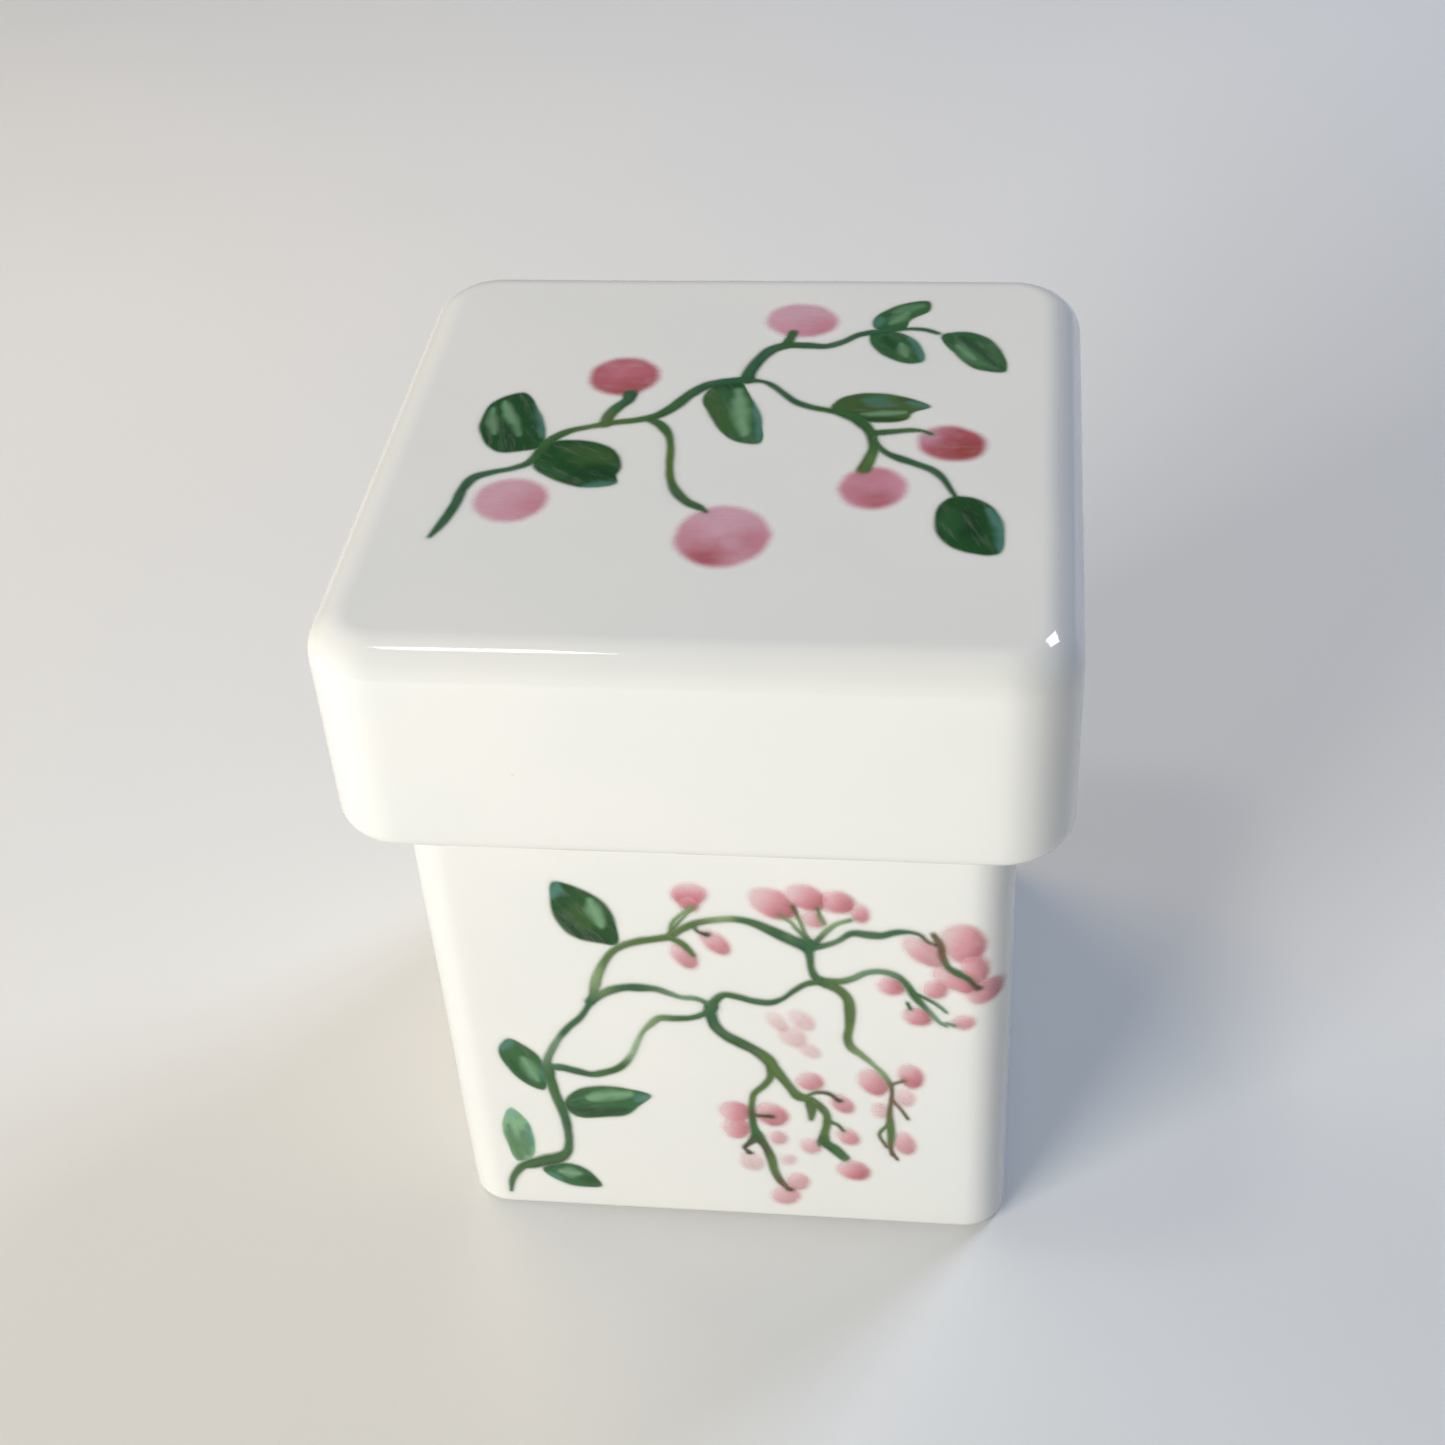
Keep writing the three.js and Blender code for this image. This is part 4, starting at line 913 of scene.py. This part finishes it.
def petal_paint(sheet, strength, deep_way, seed):
    """Pale to deep along the dab, darker where a twig touches it.  Thins the cover to match."""
    flat = sheet["flat"]
    way = math.radians(deep_way)
    along = (flat - sheet["middle"]) @ [math.cos(way), math.sin(way)]
    along = along / sheet["inside"].max()
    paint = np.tile(PIGMENTS["petal_pale"], (len(flat), 1))
    paint = wash(paint, "petal", smoothstep(-0.9, 0.2, along))
    paint = wash(paint, "petal_deep", strength * smoothstep(-0.1, 1, along))
    near_stem = np.full(len(flat), np.inf)
    for stem in FRONT_STEMS + FRONT_TWIGS:
        near_stem = np.minimum(near_stem, distance_to(flat, [point[:2] for point in stem])[0])
    paint = wash(paint, "petal_dark", 0.3 * smoothstep(1, 0.3, near_stem))
    sheet["cover"] = sheet["cover"] * strength * (0.65 + 0.35 * smoothstep(-1.2, 0.3, along))
    return mottle(paint, flat, seed, PINK_MOTTLE)


def leaf_turn(outline):
    """The way a leaf runs, in degrees: the long axis of its outline."""
    spread = np.array(outline) - np.mean(outline, 0)
    axis = np.linalg.eigh(spread.T @ spread)[1][:, 1]
    return math.degrees(math.atan2(axis[1], axis[0]))


def dab_outline(dab, around):
    right, up, half_width, half_height, turn = dab
    angle = np.linspace(0, 2 * math.pi, around, endpoint=False)
    lean = math.radians(turn)
    across = half_width * np.cos(angle)
    tall = half_height * np.sin(angle)
    return np.column_stack([
        right + across * math.cos(lean) - tall * math.sin(lean),
        up + across * math.sin(lean) + tall * math.cos(lean),
    ])


def leaf_outline(points):
    """A smooth outline, anticlockwise, with evenly spread vertices."""
    fine = smooth_curve(points, True, 0.05)
    spokes = fine - fine.mean(0)
    turn = np.unwrap(np.arctan2(spokes[:, 1], spokes[:, 0]))
    if turn[-1] < turn[0]:
        fine = fine[::-1]
    gaps = np.linalg.norm(np.diff(fine, axis=0, append=fine[:1]), axis=1)
    length = np.concatenate([[0], np.cumsum(gaps)])
    stops = np.linspace(0, length[-1], LEAF_AROUND, endpoint=False)
    closed = np.vstack([fine, fine[:1]])
    return np.column_stack([np.interp(stops, length, closed[:, k]) for k in range(2)])


# ---------------------------------------------------------------- the painting

def paint_stems(node, stems, tones, place_on, body):
    sheets = []
    for number, stem in enumerate(stems):
        sheet = stem_sheet(stem, STEM_LAYER + number * STROKE_LIFT, number + 1)
        sheet["paint"] = stem_paint(sheet, tones, number + 1)
        sheets.append(sheet)
    film(node, sheets, place_on, "stem_enamel", body)


def paint_leaves(prefix, leaves, place_on, body):
    for number, leaf in enumerate(leaves, 1):
        outline = leaf_outline(leaf["outline"])
        sheet = round_sheet(outline, LEAF_LAYER, LEAF_RINGS, number, LEAF_WOBBLE, GREEN_BLUR,
                            leaf_turn(leaf["outline"]))
        sheet["paint"] = leaf_paint(sheet, leaf, number)
        film(f"{prefix}_{number}", [sheet], place_on, "leaf_enamel", body)


def paint_berries():
    for number, berry in enumerate(LID_BERRIES, 1):
        outline = dab_outline(berry["dab"], BERRY_AROUND)
        sheet = round_sheet(outline, PINK_LAYER, BERRY_RINGS, number, DAB_WOBBLE, BERRY_BLUR, 0)
        sheet["paint"] = berry_paint(sheet, berry, number)
        film(f"lid_berry_{number}", [sheet], on_lid, "berry_enamel", "lid")


def paint_blossoms():
    for number, (strength, deep_way, dabs) in enumerate(FRONT_BLOSSOMS, 1):
        sheets = []
        for order, dab in enumerate(dabs):
            right, up, half_width, half_height, turn = dab
            spread = [right, up, half_width + PETAL_SPREAD, half_height + PETAL_SPREAD, turn]
            outline = dab_outline(spread, PETAL_AROUND)
            layer = PINK_LAYER + order * STROKE_LIFT
            sheet = round_sheet(outline, layer, PETAL_RINGS, number, DAB_WOBBLE, PETAL_BLUR,
                                deep_way)
            sheet["paint"] = petal_paint(sheet, strength, deep_way, number)
            sheets.append(sheet)
        film(f"front_blossom_{number}", sheets, on_front, "blossom_enamel", "jar")


# ---------------------------------------------------------------- materials

# Base colours, linear with alpha, and the constant facts of the shaders.

BODY_WARM = (0.815, 0.81, 0.785, 1)
BODY_COOL = (0.79, 0.795, 0.78, 1)
SPECK = (0.35, 0.30, 0.24, 1)
SPECK_STRENGTH = 0.2
CLAY_PALE = (0.70, 0.68, 0.64, 1)
CLAY_DARK = (0.60, 0.575, 0.53, 1)
CARD_WARM = (0.81, 0.805, 0.80, 1)
CARD_COOL = (0.79, 0.79, 0.79, 1)
GLASS_IOR = 1.5
ENAMEL_SPECULAR = 0.36
CARD_SPECULAR = 0.3
CARD_ROUGHNESS = 0.62
BARE_ROUGHNESS = 0.7

class Nodes:
    """A short way to write a material's nodes."""

    def __init__(self, name):
        self.material = bpy.data.materials.new(name)
        self.material.use_nodes = True
        self.tree = self.material.node_tree
        self.shader = self.tree.nodes["Principled BSDF"]

    def add(self, kind, inputs=None, **settings):
        made = self.tree.nodes.new("ShaderNode" + kind)
        for key, value in settings.items():
            setattr(made, key, value)
        for key, value in (inputs or {}).items():
            self.set(made.inputs[key], value)
        return made

    def set(self, socket, value):
        if isinstance(value, bpy.types.NodeSocket):
            self.tree.links.new(value, socket)
        else:
            socket.default_value = value

    def shade(self, name, socket):
        """Links an input of the shader."""
        self.set(self.shader.inputs[name], socket)

    def attribute(self, name, output):
        return self.add("Attribute", attribute_name=name).outputs[output]

    def noise(self, vector, scale, detail=2.0, roughness=0.5):
        return self.add("TexNoise", {
            "Vector": vector, "Scale": scale, "Detail": detail, "Roughness": roughness,
        }).outputs["Fac"]

    def ramp(self, value, low, high, to_low, to_high, smooth=False):
        made = self.add("MapRange", {
            "Value": value, "From Min": low, "From Max": high, "To Min": to_low,
            "To Max": to_high,
        })
        made.interpolation_type = "SMOOTHSTEP" if smooth else "LINEAR"
        return made.outputs["Result"]

    def math(self, operation, first, second):
        return self.add("Math", {0: first, 1: second}, operation=operation).outputs[0]

    def mix(self, part, first, second, blend="MIX"):
        made = self.add("Mix", data_type="RGBA", blend_type=blend)
        self.set(made.inputs[0], part)
        self.set(made.inputs[6], first)
        self.set(made.inputs[7], second)
        return made.outputs[2]

    def scaled(self, vector, factors):
        made = self.add("VectorMath", {0: vector, 1: factors}, operation="MULTIPLY")
        return made.outputs[0]

    def bump(self, height, distance, strength, normal=None):
        inputs = {"Height": height, "Distance": distance, "Strength": strength}
        if normal is not None:
            inputs["Normal"] = normal
        return self.add("Bump", inputs).outputs[0]


def porcelain_material():
    """Clear glaze on a white body, and the bare fired body where the glaze was wiped off."""
    nodes = Nodes("glazed_porcelain")
    place = nodes.add("TexCoord").outputs["Object"]
    drift = nodes.noise(place, 45)
    body = nodes.mix(nodes.ramp(drift, 0.3, 0.7, 0, 1, True),
                     BODY_WARM, BODY_COOL)
    cells = nodes.add("TexVoronoi", {"Vector": place, "Scale": 260})
    chance = nodes.add("SeparateColor", {0: cells.outputs["Color"]}).outputs[0]
    chosen = nodes.ramp(chance, 0.972, 0.975, 0, 1)
    near = nodes.ramp(cells.outputs["Distance"], 0.02, 0.05, 1, 0, True)
    speck = nodes.math("MULTIPLY", nodes.math("MULTIPLY", chosen, near), SPECK_STRENGTH)
    body = nodes.mix(speck, body, SPECK)
    bare = nodes.attribute("bare", "Fac")
    grit = nodes.noise(place, 2600, 3)
    frayed = nodes.math("ADD", bare, nodes.ramp(nodes.noise(place, 500), 0.3, 0.7, -0.3, 0.3))
    bare = nodes.ramp(frayed, 0.35, 0.65, 0, 1, True)
    clay = nodes.mix(nodes.ramp(grit, 0.35, 0.65, 0, 1), CLAY_PALE, CLAY_DARK)
    nodes.shade("Base Color", nodes.mix(bare, body, clay))
    gloss = nodes.ramp(nodes.noise(place, 120), 0.3, 0.7, 0.05, 0.085)
    rough = nodes.add("Mix", {0: bare, 2: gloss, 3: BARE_ROUGHNESS}, data_type="FLOAT").outputs[0]
    nodes.shade("Roughness", rough)
    peel = nodes.bump(nodes.noise(place, 320, 1), 0.00001, 0.35)
    grain = nodes.bump(nodes.math("MULTIPLY", grit, bare), 0.00006, 0.8, peel)
    nodes.shade("Normal", grain)
    nodes.shader.inputs["IOR"].default_value = GLASS_IOR
    return nodes.material


def enamel_material(slot, thin_cover, streak, roughness):
    """Brushed china enamel: soft streaks along the stroke, slightly ragged edges, fired gloss."""
    nodes = Nodes("fired_" + slot)
    grain = nodes.attribute("grain", "Vector")
    bristle = nodes.noise(nodes.scaled(grain, (0.3, 1.7, 1)), 1, 3, 0.55)
    fine = nodes.noise(nodes.scaled(grain, (1.2, 6, 1)), 1, 2)
    pool = nodes.noise(grain, 0.8, 2)
    colour = nodes.attribute("paint", "Color")
    mixed = nodes.math("ADD", nodes.math("MULTIPLY", bristle, 0.75),
                       nodes.math("MULTIPLY", fine, 0.25))
    level = nodes.ramp(mixed, 0.3, 0.7, 1 - streak, 1 + streak)
    paint = nodes.add("VectorMath", {0: colour, "Scale": level}, operation="SCALE").outputs[0]
    nodes.shade("Base Color", paint)
    cover = nodes.attribute("cover", "Fac")
    ragged = nodes.math("ADD", cover, nodes.ramp(mixed, 0.3, 0.7, -0.07, 0.07))
    margin = nodes.ramp(cover, 0.02, 0.3, 0, 1, True)
    rubbed = nodes.add("Mix", {0: margin, 2: cover, 3: ragged}, data_type="FLOAT").outputs[0]
    depth = nodes.ramp(pool, 0.3, 0.6, thin_cover, 1)
    nodes.shade("Alpha", nodes.math("MULTIPLY", rubbed, depth))
    shine = nodes.ramp(pool, 0.3, 0.7, roughness * 0.8, roughness * 1.25)
    nodes.shade("Roughness", shine)
    nodes.shade("Normal", nodes.bump(bristle, 0.00001, 0.3))
    nodes.shader.inputs["IOR"].default_value = GLASS_IOR
    nodes.shader.inputs["Specular IOR Level"].default_value = ENAMEL_SPECULAR
    return nodes.material


def floor_material():
    """Smooth pale card, with a faint tooth."""
    nodes = Nodes("floor_card")
    place = nodes.add("TexCoord").outputs["Object"]
    cloud = nodes.ramp(nodes.noise(place, 9, 3), 0.3, 0.7, 0, 1, True)
    nodes.shade("Base Color", nodes.mix(cloud, CARD_WARM, CARD_COOL))
    nodes.shader.inputs["Roughness"].default_value = CARD_ROUGHNESS
    nodes.shader.inputs["Specular IOR Level"].default_value = CARD_SPECULAR
    nodes.shade("Normal", nodes.bump(nodes.noise(place, 900, 3), 0.00005, 0.3))
    return nodes.material


# ---------------------------------------------------------------- camera, floor and lights

FLOOR_REACH = 4000
FLOOR_LINES = 9


def make_camera():
    yaw, down, roll = (math.radians(turn) for turn in (CAMERA_YAW, CAMERA_DOWN, CAMERA_ROLL))
    ahead = Vector((math.sin(yaw) * math.cos(down), math.cos(yaw) * math.cos(down),
                    -math.sin(down)))
    level = Vector((math.cos(yaw), -math.sin(yaw), 0))
    upward = level.cross(ahead)
    right = level * math.cos(roll) + upward * math.sin(roll)
    up = upward * math.cos(roll) - level * math.sin(roll)
    data = bpy.data.cameras.new("camera")
    data.sensor_width = SENSOR_WIDTH
    data.lens = CAMERA_LENS
    data.clip_start, data.clip_end = CAMERA_CLIP
    camera = bpy.data.objects.new("camera", data)
    camera.matrix_world = Matrix.Translation(Vector(CAMERA_PLACE) * MM) @ Matrix(
        (right, up, -ahead)).transposed().to_4x4()
    bpy.context.scene.collection.objects.link(camera)
    bpy.context.scene.camera = camera


def make_floor(material):
    steps = np.linspace(-FLOOR_REACH, FLOOR_REACH, FLOOR_LINES)
    vertices = [(x, y, JAR_LOW[2]) for y in steps for x in steps]
    row = len(steps)
    faces = [(a, a + 1, a + row + 1, a + row) for y in range(row - 1)
             for a in range(y * row, y * row + row - 1)]
    floor = new_piece("floor", new_mesh("floor", vertices, faces), material)


# A soft light: how far off it hangs (mm), its turn to the left of the front and its height (in
# degrees), its width and height (mm), its colour, its power (W), and whether it shows in the
# glaze.
LIGHTS = {
    "window": (800, 38, 19, 420, 160, (1.00, 0.97, 0.89), 5.9, False),
    "back_window": (900, -139, 43, 260, 200, (0.71, 0.81, 1.00), 2.8, True),
    "warm_wall": (450, 130, 45, 250, 200, (1.00, 0.80, 0.53), 0.55, False),
    "lamp": (800, 67, 75, 90, 100, (1.00, 0.98, 0.94), 0.45, True),
}
AIM = (0, 0, 40)
WORLD_COLOUR = (0.76, 0.86, 1.0)
WORLD_STRENGTH = 0.17


def make_lights():
    for name, facts in LIGHTS.items():
        distance, turn, height, width, tall, colour, power, shows = facts
        data = bpy.data.lights.new(name, "AREA")
        data.shape = "RECTANGLE"
        data.size = width * MM
        data.size_y = tall * MM
        data.color = colour
        data.energy = power
        turn, height = math.radians(turn), math.radians(height)
        towards = Vector((-math.sin(turn) * math.cos(height), -math.cos(turn) * math.cos(height),
                          math.sin(height)))
        light = bpy.data.objects.new(name, data)
        light.location = (Vector(AIM) + towards * distance) * MM
        light.rotation_euler = towards.to_track_quat("Z", "Y").to_euler()
        light.visible_glossy = shows
        bpy.context.scene.collection.objects.link(light)
    world = bpy.data.worlds.new("studio")
    world.use_nodes = True
    background = world.node_tree.nodes["Background"]
    background.inputs["Color"].default_value = (*WORLD_COLOUR, 1)
    background.inputs["Strength"].default_value = WORLD_STRENGTH
    bpy.context.scene.world = world


# ---------------------------------------------------------------- assembly

make_camera()

ENAMELS = {
    "stem_enamel": enamel_material("stem_enamel", 0.99, 0.16, 0.12),
    "leaf_enamel": enamel_material("leaf_enamel", 0.99, 0.13, 0.11),
    "berry_enamel": enamel_material("berry_enamel", 0.94, 0.07, 0.13),
    "blossom_enamel": enamel_material("blossom_enamel", 0.93, 0.07, 0.13),
}

make_shells(porcelain_material())
paint_stems("lid_branch", LID_STEMS, LID_STEM_TONES, on_lid, "lid")
paint_leaves("lid_leaf", LID_LEAVES, on_lid, "lid")
paint_berries()
tips = [[[right, up, TIP_WIDTH], [right + TIP_LENGTH, up, TIP_WIDTH]] for right, up in TWIG_TIPS]
paint_stems("front_branch", FRONT_STEMS + FRONT_TWIGS + tips, FRONT_STEM_TONES, on_front, "jar")
paint_leaves("front_leaf", FRONT_LEAVES, on_front, "jar")
paint_blossoms()

make_floor(floor_material())
make_lights()
bpy.context.scene.view_settings.view_transform = "Standard"
